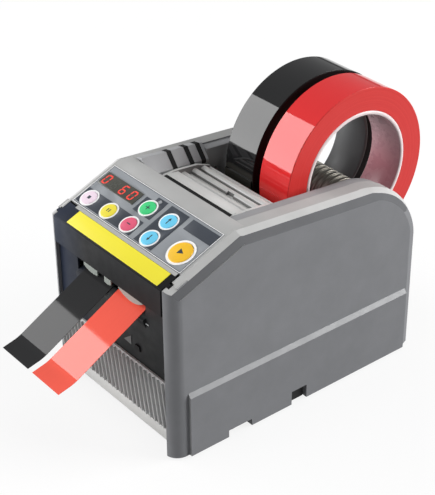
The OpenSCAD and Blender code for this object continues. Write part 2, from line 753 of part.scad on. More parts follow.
module black_tape() color([0.17, 0.17, 0.17]) tape_ring(-x_out, -x_in);

// sector of a thin ring, from angle a0 to a1, for the film on a roller
module film_bend(y, z, r, a0, a1) {
  translate([y, z]) intersection() {
    difference() {
      circle(r = r + film_g + film_t);
      circle(r = r + film_g);
    }
    polygon([[0, 0], 40 * [cos(a0), sin(a0)], 50 * [cos((a0 + a1) / 2), sin((a0 + a1) / 2)],
      40 * [cos(a1), sin(a1)]]);
  }
}

// tape from the roll, round the guide, over the feed roller, up to the blade
module web_shape() {
  ye = fb_y + 0.6;
  h = film_t / 2;
  translate([guide_y + guide_r + film_g, guide_z]) square([film_t, roll_z - guide_z]);
  film_bend(guide_y, guide_z, guide_r, 0, -90);
  translate([feed_y, feed_z + feed_r + film_g]) square([guide_y - feed_y, film_t]);
  film_bend(feed_y, feed_z, feed_r, 90, 90 + out_a);
  polygon([[out_y - h * sin(out_a), out_z + h * cos(out_a)],
    [ye - h * sin(out_a), line_z(ye) + h * cos(out_a)], [ye + h * sin(out_a), line_z(ye) - h * cos(out_a)],
    [out_y + h * sin(out_a), out_z - h * cos(out_a)]]);
}

module red_web() color([0.88, 0.2, 0.22]) yz(x_in + 0.2, x_out - 0.2) web_shape();

module black_web() color([0.17, 0.17, 0.17]) yz(-x_out + 0.2, -x_in - 0.2) web_shape();

// cut tape end hanging out of the outlet, its last part bent up
module strip_shape() {
  y0 = mb_y - 0.8;
  y1 = fy - 44.5;
  y2 = y1 - 10.6;
  h = film_t / 2;
  z2 = line_z(y1) - 2.6;
  polygon([[y0 - h * sin(out_a), line_z(y0) + h * cos(out_a)],
    [y1 - h * sin(out_a), line_z(y1) + h * cos(out_a)], [y2 - h * 0.24, z2 + h], [y2 + h * 0.24, z2 - h],
    [y1 + h * sin(out_a), line_z(y1) - h * cos(out_a)], [y0 + h * sin(out_a), line_z(y0) - h * cos(out_a)]]);
}

module red_strip() color([0.93, 0.42, 0.4]) yz(x_in, x_out) strip_shape();

module black_strip() color([0.2, 0.2, 0.2]) yz(-x_out, -x_in) strip_shape();

// rear panel with the housing of the power switch
module rear_panel() color([0.45, 0.45, 0.46]) difference() {
  union() {
    box(-roof_in, roof_in, ry - cover_wall, ry, floor_z, rear_top);
    box(sw_x - 9, sw_x + 9, ry - 12, ry - cover_wall, sw_z - 7.5, sw_z + 7.5);
  }
  box(sw_x - 7.5, sw_x + 7.5, ry - 10.5, ry + 1, sw_z - 6, sw_z + 6);
  translate([sw_x, sw_y, sw_z - 9]) cylinder(h = 18, r = 1.2 + run_c);
  ycyl(5.05, ry - 5, ry + 1, -24, sw_z);
  for (i = [0 : 5]) {
    box(-14, 14, ry - 5, ry + 1, floor_z + 7 + i * 4, floor_z + 9 + i * 4);
  }
}

// rocker of the power switch, tipped to its off side
module rocker() color([0.1, 0.1, 0.1]) translate([sw_x, sw_y, sw_z]) rotate([0, 0, -7]) {
  linear_extrude(height = 12 - 2 * face_c, center = true)
    polygon([[-6.2, 1.5], [-6.2, 6.4], [0, 5.6], [6.2, 6.4], [6.2, 1.5], [2.4, -1.9], [-2.4, -1.9]]);
  cylinder(h = 14, r = 1.2, center = true);
}

module power_inlet() color([0.08, 0.08, 0.08]) {
  difference() {
    union() {
      ycyl(5, ry - 10, ry + 0.6, -24, sw_z);
      ycyl(6.4, ry, ry + 0.8, -24, sw_z);
    }
    ycyl(3.2, ry - 8, ry + 2, -24, sw_z);
  }
  ycyl(1, ry - 9, ry - 0.6, -24, sw_z);
}

base_plate();
left_cover();
right_cover();
front_lip();
ribbed_panel();
lower_plate();
panel_deck();
panel_overlay();
panel_patches();
key_rings();
display_window();
control_board();
tact_switches();
start_key();
green_key();
red_key();
yellow_key();
pink_key();
blue_key_front();
blue_key_back();
safety_cover();
yellow_strip();
left_frame();
right_frame();
bearings();
feed_roller();
feed_rings();
feed_gear();
pinch_roller();
guide_roller();
feed_motor();
motor_pinion();
cutter_motor();
crank();
blade_carriage();
moving_blade();
fixed_blade();
blade_guides();
press_shoes();
well_liner();
left_rail();
feed_cover();
front_support();
rear_support();
hub_roller();
red_core();
red_tape();
black_core();
black_tape();
red_web();
black_web();
red_strip();
black_strip();
rear_panel();
rocker();
power_inlet();
feet();
case_screws();
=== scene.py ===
import json
import math

import bmesh
import bpy
from mathutils import Matrix, Vector


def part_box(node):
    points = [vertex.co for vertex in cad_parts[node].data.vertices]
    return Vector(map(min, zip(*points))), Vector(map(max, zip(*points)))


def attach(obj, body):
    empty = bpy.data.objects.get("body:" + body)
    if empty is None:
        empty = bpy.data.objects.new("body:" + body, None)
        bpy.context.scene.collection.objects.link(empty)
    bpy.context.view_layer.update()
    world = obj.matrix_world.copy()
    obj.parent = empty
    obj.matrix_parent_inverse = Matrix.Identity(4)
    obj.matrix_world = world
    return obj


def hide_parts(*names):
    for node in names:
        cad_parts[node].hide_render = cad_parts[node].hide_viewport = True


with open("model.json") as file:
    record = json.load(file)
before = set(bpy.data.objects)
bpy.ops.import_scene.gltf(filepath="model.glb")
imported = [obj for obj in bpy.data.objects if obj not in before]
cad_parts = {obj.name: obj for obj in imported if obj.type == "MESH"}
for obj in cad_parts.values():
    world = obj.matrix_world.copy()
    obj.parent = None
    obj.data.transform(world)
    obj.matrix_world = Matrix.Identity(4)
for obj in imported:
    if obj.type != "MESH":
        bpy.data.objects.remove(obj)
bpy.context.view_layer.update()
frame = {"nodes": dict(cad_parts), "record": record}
nodes = frame["nodes"]
body_of = {
    node: body
    for body, members in frame["record"]["behaviour"]["bodies"].items()
    for node in members
}

MM = 0.001
IMAGE_H = 495
MERGE = 3e-6
CLEAN = 2e-6

# Places that several pieces share, in millimetres
FRONT_Y, PANEL_FRONT_Z = -83.58, 116.0
BEND_Y, BEND_Z = -33.58, 136.0
PANEL_TILT = math.atan2(BEND_Z - PANEL_FRONT_Z, BEND_Y - FRONT_Y)
ROOF_FALL = math.radians(5.0)
UP_SLOPE = Vector((0, math.cos(PANEL_TILT), math.sin(PANEL_TILT)))


def centre_of(node):
    """Middle of a CAD node's box, in millimetres."""
    low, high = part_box(node)
    return (low + high) / 2 / MM


def on_panel(u, s, n=0.0):
    """Point of the sloped panel in metres: u across, s up the slope, n above it, in millimetres."""
    y = FRONT_Y + s * math.cos(PANEL_TILT) - n * math.sin(PANEL_TILT)
    z = PANEL_FRONT_Z + s * math.sin(PANEL_TILT) + n * math.cos(PANEL_TILT)
    return Vector((u, y, z)) * MM


def on_roof(u, s, n=0.0):
    """Point of the falling roof in metres: s back from its front edge, n above it, in millimetres."""
    y = BEND_Y + s * math.cos(ROOF_FALL) + n * math.sin(ROOF_FALL)
    z = BEND_Z - s * math.sin(ROOF_FALL) + n * math.cos(ROOF_FALL)
    return Vector((u, y, z)) * MM


# Materials

GRAIN_DEPTH = 0.00012
MARK_DEPTH = 0.0001
PATCHES_PER_CLOUD = 3.1
COAT_ROUGH = 0.12
BLUE_END, BLACK_END = -0.05, -0.02
RINGS_PER_METRE = 900.0
CORE_FADE = (-0.012, 0.02)


def linear(code, gain=1.0):
    """Scene-linear colour of a hex code such as 7f8082."""
    channels = [int(code[i : i + 2], 16) / 255 for i in (0, 2, 4)]
    return [gain * (c / 12.92 if c <= 0.04045 else ((c + 0.055) / 1.055) ** 2.4) for c in channels] + [1.0]


def add_noise(tree, vector, scale, detail=3.0, rough=0.55):
    noise = tree.nodes.new("ShaderNodeTexNoise")
    noise.inputs["Scale"].default_value = scale
    noise.inputs["Detail"].default_value = detail
    noise.inputs["Roughness"].default_value = rough
    tree.links.new(vector, noise.inputs["Vector"])
    return noise.outputs["Fac"]


def spread(tree, value, low, high, start=0.3, stop=0.7):
    """Map a noise value onto a range."""
    node = tree.nodes.new("ShaderNodeMapRange")
    node.inputs["From Min"].default_value = start
    node.inputs["From Max"].default_value = stop
    node.inputs["To Min"].default_value = low
    node.inputs["To Max"].default_value = high
    tree.links.new(value, node.inputs["Value"])
    return node.outputs["Result"]


def mix_colours(tree, factor, first, second):
    node = tree.nodes.new("ShaderNodeMix")
    node.data_type = "RGBA"
    tree.links.new(factor, node.inputs[0])
    for socket, colour in ((node.inputs[6], first), (node.inputs[7], second)):
        if isinstance(colour, list):
            socket.default_value = colour
        else:
            tree.links.new(colour, socket)
    return node.outputs[2]


def calculate(tree, operation, *values):
    """Result of a Math node; each value is a socket or a number."""
    node = tree.nodes.new("ShaderNodeMath")
    node.operation = operation
    for socket, value in zip(node.inputs, values):
        if isinstance(value, float):
            socket.default_value = value
        else:
            tree.links.new(value, socket)
    return node.outputs[0]


def axes_of(tree, place):
    """X, Y and Z of a coordinate socket."""
    parts = tree.nodes.new("ShaderNodeSeparateXYZ")
    tree.links.new(place, parts.inputs["Vector"])
    return parts.outputs


def length_of(tree, vector):
    """Length of a vector socket."""
    node = tree.nodes.new("ShaderNodeVectorMath")
    node.operation = "LENGTH"
    tree.links.new(vector, node.inputs[0])
    return node.outputs["Value"]


def add_bump(tree, shader, height, strength, depth):
    bump = tree.nodes.new("ShaderNodeBump")
    bump.inputs["Strength"].default_value = strength
    bump.inputs["Distance"].default_value = depth
    tree.links.new(height, bump.inputs["Height"])
    tree.links.new(bump.outputs["Normal"], shader.inputs["Normal"])


def new_finish(name):
    """Empty material with its tree, shader and Object coordinates."""
    material = bpy.data.materials.new(name)
    material.use_nodes = True
    tree = material.node_tree
    shader = tree.nodes["Principled BSDF"]
    place = tree.nodes.new("ShaderNodeTexCoord").outputs["Object"]
    return material, tree, shader, place


def stretched(tree, place, scale):
    """Object coordinates stretched along an axis, for brushed or drawn surfaces."""
    mapping = tree.nodes.new("ShaderNodeMapping")
    mapping.inputs["Scale"].default_value = scale
    tree.links.new(place, mapping.inputs["Vector"])
    return mapping.outputs["Vector"]


def moulded(
    name, code, rough=0.45, tone=0.05, cloud=45.0, grain=2200.0, bump=0.12, specular=0.5, coat=0.0
):
    """Moulded plastic: slow colour clouds, wandering gloss and a fine spark-eroded grain."""
    material, tree, shader, place = new_finish(name)
    clouds = add_noise(tree, place, cloud)
    colour = mix_colours(tree, spread(tree, clouds, 0.0, 1.0), linear(code, 1 - tone), linear(code, 1 + tone))
    tree.links.new(colour, shader.inputs["Base Color"])
    patches = add_noise(tree, place, cloud * PATCHES_PER_CLOUD, 2.0)
    tree.links.new(spread(tree, patches, rough - 0.05, rough + 0.06), shader.inputs["Roughness"])
    add_bump(tree, shader, add_noise(tree, place, grain, 2.0, 0.6), bump, GRAIN_DEPTH)
    shader.inputs["Specular IOR Level"].default_value = specular
    shader.inputs["Coat Weight"].default_value = coat
    shader.inputs["Coat Roughness"].default_value = COAT_ROUGH
    return material


def front_black(name, left, right):
    """Black plastic of the front, bluer towards its left end."""
    material = moulded(name, right, rough=0.5, tone=0.1, bump=0.12, specular=0.18)
    tree = material.node_tree
    shader = tree.nodes["Principled BSDF"]
    place = tree.nodes.new("ShaderNodeTexCoord").outputs["Object"]
    plain = shader.inputs["Base Color"].links[0].from_socket
    across = spread(tree, axes_of(tree, place)["X"], 0.0, 1.0, BLUE_END, BLACK_END)
    tree.links.new(mix_colours(tree, across, linear(left), plain), shader.inputs["Base Color"])
    return material


def key_cap(name, code):
    """Soft glossy key cap, a little lighter in the middle of its clouds."""
    material, tree, shader, place = new_finish(name)
    clouds = add_noise(tree, place, 120.0, 2.0)
    colour = mix_colours(tree, spread(tree, clouds, 0.0, 1.0), linear(code, 0.96), linear(code, 1.03))
    tree.links.new(colour, shader.inputs["Base Color"])
    tree.links.new(spread(tree, add_noise(tree, place, 300.0), 0.3, 0.4), shader.inputs["Roughness"])
    add_bump(tree, shader, add_noise(tree, place, 1500.0, 2.0), 0.04, MARK_DEPTH)
    shader.inputs["Subsurface Weight"].default_value = 0.08
    shader.inputs["Subsurface Radius"].default_value = (0.002, 0.002, 0.002)
    return material


def brushed(name, code, rough=0.3, along=(1.0, 30.0, 30.0), scale=120.0, tone=0.08):
    """Brushed or turned metal, its marks drawn out along one axis."""
    material, tree, shader, place = new_finish(name)
    marks = add_noise(tree, stretched(tree, place, along), scale, 4.0, 0.65)
    colour = mix_colours(tree, spread(tree, marks, 0.0, 1.0), linear(code, 1 - tone), linear(code, 1 + tone))
    tree.links.new(colour, shader.inputs["Base Color"])
    tree.links.new(spread(tree, marks, rough - 0.08, rough + 0.1), shader.inputs["Roughness"])
    add_bump(tree, shader, marks, 0.08, MARK_DEPTH)
    shader.inputs["Metallic"].default_value = 1.0
    return material


def tape_film(name, code, rough=0.025, tone=0.012, specular=0.5):
    """Glossy adhesive film with faint drawn lines along its length."""
    material, tree, shader, place = new_finish(name)
    lines = add_noise(tree, stretched(tree, place, (40.0, 1.0, 1.0)), 30.0, 3.0)
    colour = mix_colours(tree, spread(tree, lines, 0.0, 1.0), linear(code, 1 - tone), linear(code, 1 + tone))
    tree.links.new(colour, shader.inputs["Base Color"])
    tree.links.new(spread(tree, lines, rough - 0.005, rough + 0.005), shader.inputs["Roughness"])
    shader.inputs["Specular IOR Level"].default_value = specular
    return material


def wound_edge(name, dark, light, axis_y, axis_z, rough=0.35):
    """Side of a wound roll: fine rings round the roll's own axis."""
    material, tree, shader, place = new_finish(name)
    axes = axes_of(tree, place)
    centred = tree.nodes.new("ShaderNodeCombineXYZ")
    tree.links.new(calculate(tree, "SUBTRACT", axes["Y"], axis_y), centred.inputs["X"])
    tree.links.new(calculate(tree, "SUBTRACT", axes["Z"], axis_z), centred.inputs["Y"])
    rings = tree.nodes.new("ShaderNodeTexNoise")
    rings.noise_dimensions = "1D"
    rings.inputs["Scale"].default_value = RINGS_PER_METRE
    rings.inputs["Detail"].default_value = 4.0
    tree.links.new(length_of(tree, centred.outputs["Vector"]), rings.inputs["W"])
    colour = mix_colours(tree, spread(tree, rings.outputs["Fac"], 0.0, 1.0), linear(dark), linear(light))
    tree.links.new(colour, shader.inputs["Base Color"])
    tree.links.new(spread(tree, rings.outputs["Fac"], rough - 0.06, rough + 0.08), shader.inputs["Roughness"])
    add_bump(tree, shader, rings.outputs["Fac"], 0.05, MARK_DEPTH)
    shader.inputs["Specular IOR Level"].default_value = 0.25
    return material


def clear_core(name, low, high, middle_z):
    """Cloudy clear plastic that lets the wound tape shine through, more so low down."""
    material, tree, shader, place = new_finish(name)
    fade = (middle_z + end for end in CORE_FADE)
    height = spread(tree, axes_of(tree, place)["Z"], 0.0, 1.0, *fade)
    cloudy = mix_colours(tree, add_noise(tree, place, 40.0), linear(low, 0.92), linear(low, 1.08))
    tree.links.new(mix_colours(tree, height, cloudy, linear(high)), shader.inputs["Base Color"])
    tree.links.new(spread(tree, add_noise(tree, place, 150.0), 0.22, 0.34), shader.inputs["Roughness"])
    return material


def glowing(name, code, strength):
    """Lit segment or lamp with a soft wander in its colour."""
    material, tree, shader, place = new_finish(name)
    clouds = add_noise(tree, place, 400.0, 2.0)
    colour = mix_colours(tree, spread(tree, clouds, 0.0, 1.0), linear(code, 0.93), linear(code, 1.05))
    tree.links.new(colour, shader.inputs["Base Color"])
    tree.links.new(colour, shader.inputs["Emission Color"])
    shader.inputs["Emission Strength"].default_value = strength
    shader.inputs["Roughness"].default_value = 0.4
    return material


case_side = moulded("case_side", "7f8083", rough=0.6, specular=0.3)
pad_side = moulded("pad_side", "7c7d80", rough=0.6, specular=0.3)
# Painted light: a lighter grey for the pad's upward chamfer as a painted highlight, and for its front end to
# lift the shadow that falls there
pad_painted_light = moulded("pad_painted_light", "929395", rough=0.45)
# Rim tones: one grey plastic painted lighter on the top as painted light, pale on the slanted band as a
# painted highlight and dark on the steep facet as painted shade
rim_top_painted_light = moulded("rim_top_painted_light", "b0b0af", rough=0.5)
rim_painted_highlight = moulded("rim_painted_highlight", "c6c6c5", rough=0.4)
rim_painted_shade = moulded("rim_painted_shade", "5f6063", rough=0.55, specular=0.3)
liner_grey = moulded("liner_grey", "98989a", rough=0.45)
deck_grey = moulded("deck_grey", "b2b2b1", rough=0.5)
overlay_film = moulded("overlay_film", "92969b", rough=0.38, tone=0.03, bump=0.06, coat=0.1)
slate_ink = moulded("slate_ink", "3e434c", rough=0.4, tone=0.05, bump=0.05)
white_ink = moulded("white_ink", "ffffff", rough=0.4, tone=0.0, bump=0.03)
# Painted shade for the dark line round the overlay's edge
line_painted_shade = moulded("line_painted_shade", "54575c", rough=0.45, tone=0.03, bump=0.03)
mark_ink = moulded("mark_ink", "2f3a44", rough=0.45, tone=0.03, bump=0.03)
window_dark = moulded("window_dark", "4b4b44", rough=0.2, tone=0.06, bump=0.02, coat=0.5)
segment_dim = moulded("segment_dim", "51524c", rough=0.3, tone=0.03, bump=0.02)
segment_lit = glowing("segment_lit", "e8453a", 0.3)
lamp_clear = moulded("lamp_clear", "9da1a5", rough=0.15, tone=0.04, bump=0.02, coat=0.6)
black_case = moulded("black_case", "17181a", rough=0.5, tone=0.1, bump=0.15, specular=0.22)
black_front = front_black("black_front", "252c3c", "131416")
black_plate = front_black("black_plate", "232a3a", "0e0f11")
trim_grey = moulded("trim_grey", "6d7070", rough=0.5)
trim_light = moulded("trim_light", "aeb1b2", rough=0.45)
yellow_film = moulded("yellow_film", "f8ea38", rough=0.4, tone=0.01, bump=0.03)
lip_plastic = moulded("lip_plastic", "bebebc", rough=0.45)
rib_plastic = moulded("rib_plastic", "bababa", rough=0.5)
rib_ground = moulded("rib_ground", "6c6d6c", rough=0.5)
rail_plastic = moulded("rail_plastic", "a9aaac", rough=0.4)
cover_plastic = moulded("cover_plastic", "d4d4d2", rough=0.38)
# Painted shade: a darker copy of the cover plastic for the ridges' sides and hollows
cover_painted_shade = moulded("cover_painted_shade", "7a7a79", rough=0.45)
rubber = moulded("rubber", "1c1c1d", rough=0.75, tone=0.12, bump=0.3, specular=0.3)
nylon = moulded("nylon", "dedbd0", rough=0.4, tone=0.04)
cream_roller = moulded("cream_roller", "d8d2c0", rough=0.45, tone=0.05)
board_lacquer = moulded("board_lacquer", "1f5a38", rough=0.35, tone=0.12, cloud=300.0)
shoe_plastic = moulded("shoe_plastic", "9fa6a0", rough=0.42)
sheet_steel = brushed("sheet_steel", "b9babc", 0.34)
turned_steel = brushed("turned_steel", "c2c2c3", 0.26, along=(30.0, 1.0, 1.0))
blade_steel = brushed("blade_steel", "cfd1d4", 0.2)
hub_metal = brushed("hub_metal", "8b8880", 0.36, along=(30.0, 1.0, 1.0))
dark_steel = brushed("dark_steel", "55575b", 0.42, along=(30.0, 1.0, 1.0))
bronze = brushed("bronze", "b0894e", 0.35)
red_film = tape_film("red_film", "e02e30", rough=0.045, specular=0.58)
# The tape ends' red is lighter and pinker than the roll's film, partly a painted sheen
red_strip_film_painted_sheen = tape_film("red_strip_film_painted_sheen", "fd6351", specular=0.5)
black_film = tape_film("black_film", "1f1f20", rough=0.045, specular=0.57)
black_strip_film = tape_film("black_strip_film", "2f2f30", specular=0.28)
roll_axis = centre_of("red_tape") * MM
red_edge = wound_edge("red_edge", "d43533", "d93d3a", roll_axis.y, roll_axis.z)
black_edge = wound_edge("black_edge", "0d0d0e", "161617", roll_axis.y, roll_axis.z)
core_pale = clear_core("core_pale", "c98791", "d3b4ba", roll_axis.z)
core_rim = moulded("core_rim", "efdfdf", rough=0.4, tone=0.03)
core_dark = moulded("core_dark", "5a5b5c", rough=0.4, tone=0.08)
CAPS = {
    "start_key": (key_cap("cap_amber", "fbc52d"), "start_amber"),
    "green_key": (key_cap("cap_green", "44d584"), "key_green"),
    "red_key": (key_cap("cap_red", "e8607f"), "key_red"),
    "yellow_key": (key_cap("cap_yellow", "f8e84a"), "key_yellow"),
    "pink_key": (key_cap("cap_pink", "f9e4f2"), "key_pink"),
    "blue_key_front": (key_cap("cap_blue_front", "72d4f8"), "key_blue"),
    "blue_key_back": (key_cap("cap_blue_back", "72d4f8"), "key_blue"),
}


# Making pieces


def piece_from(bm, name, *materials):
    """Scene object from a bmesh that already holds its place."""
    mesh = bpy.data.meshes.new(name)
    bm.to_mesh(mesh)
    bm.free()
    for material in materials:
        mesh.materials.append(material)
    obj = bpy.data.objects.new(name, mesh)
    bpy.context.scene.collection.objects.link(obj)
    return obj


def settle(obj):
    """Turn live modifiers into the object's own mesh."""
    depsgraph = bpy.context.evaluated_depsgraph_get()
    mesh = bpy.data.meshes.new_from_object(obj.evaluated_get(depsgraph), depsgraph=depsgraph)
    obj.modifiers.clear()
    obj.data = mesh
    mesh.name = obj.name
    return obj


def round_edges(obj, width, segments=2, angle=32.0):
    """Bevel every edge sharper than the angle, keeping flat faces flat."""
    for face in obj.data.polygons:
        face.use_smooth = True
    bevel = obj.modifiers.new("edges", "BEVEL")
    bevel.width = width * MM
    bevel.segments = segments
    bevel.limit_method = "ANGLE"
    bevel.angle_limit = math.radians(angle)
    bevel.harden_normals = True
    bevel.use_clamp_overlap = True
    return settle(obj)


def joined(node, flat=0.4):
    """Copy of a CAD node's mesh with its loose triangles joined into whole faces."""
    bm = bmesh.new()
    bm.from_mesh(nodes[node].data)
    bmesh.ops.remove_doubles(bm, verts=bm.verts, dist=MERGE)
    bmesh.ops.dissolve_limit(bm, angle_limit=math.radians(flat), verts=bm.verts, edges=bm.edges)
    return bm


def stand_for(obj, node):
    """obj rides on the node's body and stands for it."""
    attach(obj, body_of[node])
    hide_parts(node)
    return obj


def edged(node, name, material, width=0.4, segments=2):
    """CAD node with rounded edges and its finish."""
    obj = piece_from(joined(node), name, material)
    round_edges(obj, width, segments)
    return stand_for(obj, node)


def paint(material, *names):
    """Give CAD nodes that stay as they are their finish."""
    for name in names:
        nodes[name].data.materials.clear()
        nodes[name].data.materials.append(material)


def ride_as(obj, body):
    """obj is trim of its own on a body and stands for no node."""
    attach(obj, body)
    return obj


def bridge(bm, loop, after):
    """Skin of quads between two closed loops of as many points."""
    for i in range(len(loop)):
        j = (i + 1) % len(loop)
        bm.faces.new((loop[i], loop[j], after[j], after[i]))


def add_slab(bm, under, over):
    """Closed slab between two outlines of as many points, in metres."""
    low = [bm.verts.new(point) for point in under]
    high = [bm.verts.new(point) for point in over]
    bm.faces.new(high)
    bm.faces.new(low[::-1])
    bridge(bm, low, high)


def ring(name, profile, y, z, material, steps):
    """Closed ring round the X axis through (y, z); profile is a loop of (x, radius), in millimetres."""
    bm = bmesh.new()
    rows = []
    for step in range(steps):
        a = 2 * math.pi * step / steps
        rows.append([
            bm.verts.new(Vector((x, y + r * math.cos(a), z + r * math.sin(a))) * MM) for x, r in profile
        ])
    for row, after in zip(rows, rows[1:] + rows[:1]):
        bridge(bm, row, after)
    bmesh.ops.recalc_face_normals(bm, faces=bm.faces)
    obj = piece_from(bm, name, material)
    for face in obj.data.polygons:
        face.use_smooth = True
    return obj


def flat_print(name, outlines, height, material, thickness=0.06):
    """Thin print on the sloped panel: each outline is a loop of (u, s), raised by height, in millimetres."""
    bm = bmesh.new()
    for outline in outlines:
        under = [on_panel(u, s, height) for u, s in outline]
        over = [on_panel(u, s, height + thickness) for u, s in outline]
        add_slab(bm, under, over)
    bmesh.ops.recalc_face_normals(bm, faces=bm.faces)
    return piece_from(bm, name, material)


def bar(u0, u1, s0, s1):
    """Rectangle as a loop of (u, s)."""
    return [(u0, s0), (u1, s0), (u1, s1), (u0, s1)]


def frame_bars(u0, u1, s0, s1, w):
    """Four bars that frame a rectangle."""
    return [
        bar(u0, u1, s0, s0 + w),
        bar(u0, u1, s1 - w, s1),
        bar(u0, u0 + w, s0 + w, s1 - w),
        bar(u1 - w, u1, s0 + w, s1 - w),
    ]


# Repeated bars in a row, as the front ribs are


def bar_row_tree(name, material):
    """Node tree for a row of upright bars with rounded corners, from named sizes."""
    tree = bpy.data.node_groups.new(name, "GeometryNodeTree")
    tree.interface.new_socket("Geometry", in_out="OUTPUT", socket_type="NodeSocketGeometry")
    kinds = {"Count": "NodeSocketInt", "Start": "NodeSocketVector"}
    labels = ("Count", "Pitch", "Width", "Depth", "Height", "Lean", "Corner", "Start")
    for label in labels:
        tree.interface.new_socket(label, in_out="INPUT", socket_type=kinds.get(label, "NodeSocketFloat"))
    add = tree.nodes.new
    link = tree.links.new
    sizes = add("NodeGroupInput").outputs
    step = add("ShaderNodeCombineXYZ")
    link(sizes["Pitch"], step.inputs["X"])
    row = add("GeometryNodeMeshLine")
    link(sizes["Count"], row.inputs["Count"])
    link(step.outputs["Vector"], row.inputs["Offset"])
    link(sizes["Start"], row.inputs["Start Location"])
    section = add("GeometryNodeCurvePrimitiveQuadrilateral")
    link(sizes["Width"], section.inputs["Width"])
    link(sizes["Depth"], section.inputs["Height"])
    corners = add("GeometryNodeFilletCurve")
    corners.mode = "POLY"
    corners.inputs["Count"].default_value = 3
    link(section.outputs["Curve"], corners.inputs["Curve"])
    link(sizes["Corner"], corners.inputs["Radius"])
    top = add("ShaderNodeCombineXYZ")
    link(sizes["Height"], top.inputs["Z"])
    link(sizes["Lean"], top.inputs["X"])
    spine = add("GeometryNodeCurvePrimitiveLine")
    link(top.outputs["Vector"], spine.inputs["End"])
    sweep = add("GeometryNodeCurveToMesh")
    sweep.inputs["Fill Caps"].default_value = True
    link(spine.outputs["Curve"], sweep.inputs["Curve"])
    link(corners.outputs["Curve"], sweep.inputs["Profile Curve"])
    place = add("GeometryNodeInstanceOnPoints")
    link(row.outputs["Mesh"], place.inputs["Points"])
    link(sweep.outputs["Mesh"], place.inputs["Instance"])
    real = add("GeometryNodeRealizeInstances")
    link(place.outputs["Instances"], real.inputs["Geometry"])
    dress = add("GeometryNodeSetMaterial")
    dress.inputs["Material"].default_value = material
    link(real.outputs["Geometry"], dress.inputs["Geometry"])
    link(dress.outputs["Geometry"], add("NodeGroupOutput").inputs["Geometry"])
    return tree


def bar_row(name, material, **sizes):
    """Row of bars as a plain mesh; sizes are the tree's named inputs, in metres."""
    tree = bar_row_tree(name + "_row", material)
    mesh = bpy.data.meshes.new(name)
    obj = bpy.data.objects.new(name, mesh)
    bpy.context.scene.collection.objects.link(obj)
    modifier = obj.modifiers.new("row", "NODES")
    modifier.node_group = tree
    for item in tree.interface.items_tree:
        if item.in_out == "INPUT" and item.name in sizes:
            modifier[item.identifier] = sizes[item.name]
    return settle(obj)


# Side covers with their facetted rim

PAD_LIMIT_Z = 46.0
PAD_FACE_X, PAD_END_X = 61.5, 60.6
COVER_FINISHES = (case_side, pad_side, pad_painted_light, rim_top_painted_light, rim_painted_highlight, rim_painted_shade)
SIDE, PAD, PAD_PAINTED_LIGHT, RIM_TOP_PAINTED_LIGHT, RIM_PAINTED_HIGHLIGHT, RIM_PAINTED_SHADE = range(len(COVER_FINISHES))


def cover_finish(normal, middle):
    """Finish of one face of a side cover, from the way it faces and where it lies in millimetres; the pad's
    lighter faces and the rim's lighter and darker faces are painted light and painted shade.
    """
    out = abs(normal.x)
    if middle.z < PAD_LIMIT_Z:
        # Painted light on the pad: its upward chamfer as a painted highlight, its front end lightened against
        # the shadow there
        slanted = 0.7 < out < 0.95 and normal.z > 0.4
        fore_end = normal.y < -0.6 and abs(middle.x) > PAD_END_X
        if slanted or fore_end:
            return PAD_PAINTED_LIGHT
        return PAD if abs(middle.x) > PAD_FACE_X else SIDE
    if math.hypot(normal.x, normal.y) > 0.98:
        return SIDE
    # Painted shade on the steep rim facet, painted highlight on the slanted band, painted light on the top
    if out > 0.8:
        return RIM_PAINTED_SHADE
    return RIM_PAINTED_HIGHLIGHT if out > 0.3 else RIM_TOP_PAINTED_LIGHT


def side_cover(node, name):
    """Side cover with its finishes, its rim and pad faces made lighter or darker by facing as painted light
    and shade, and softly rounded facets.
    """
    obj = piece_from(joined(node), name, *COVER_FINISHES)
    for face in obj.data.polygons:
        face.material_index = cover_finish(face.normal, face.center / MM)
    round_edges(obj, width=0.45, segments=2, angle=12.0)
    weigh = obj.modifiers.new("weigh", "WEIGHTED_NORMAL")
    weigh.weight = 100
    settle(obj)
    return stand_for(obj, node)


side_cover("right_cover", "right_shell")
side_cover("left_cover", "left_shell")


# Front: lip, ribs and the black plate

edged("front_lip", "lip", lip_plastic, 0.7, 3)
RIB_PITCH = 4.08
RIB_SHARE = 0.8
RIB_DEPTH = 0.56
RIB_CORNER = 0.26
RIB_LEAN = math.radians(10.0)
RIB_FOOT, RIB_HEAD = 0.4, 1.0
GROUND_INSET = 0.6


def trim_sides(obj, left, right):
    """Cut off what reaches past two upright planes and close the cuts."""
    bm = bmesh.new()
    bm.from_mesh(obj.data)
    for x, way in ((left, -1), (right, 1)):
        cut = bmesh.ops.bisect_plane(
            bm,
            geom=bm.verts[:] + bm.edges[:] + bm.faces[:],
            plane_co=(x, 0, 0),
            plane_no=(way, 0, 0),
            clear_outer=True,
        )
        rims = [item for item in cut["geom_cut"] if isinstance(item, bmesh.types.BMEdge)]
        bmesh.ops.holes_fill(bm, edges=rims)
    bm.to_mesh(obj.data)
    bm.free()


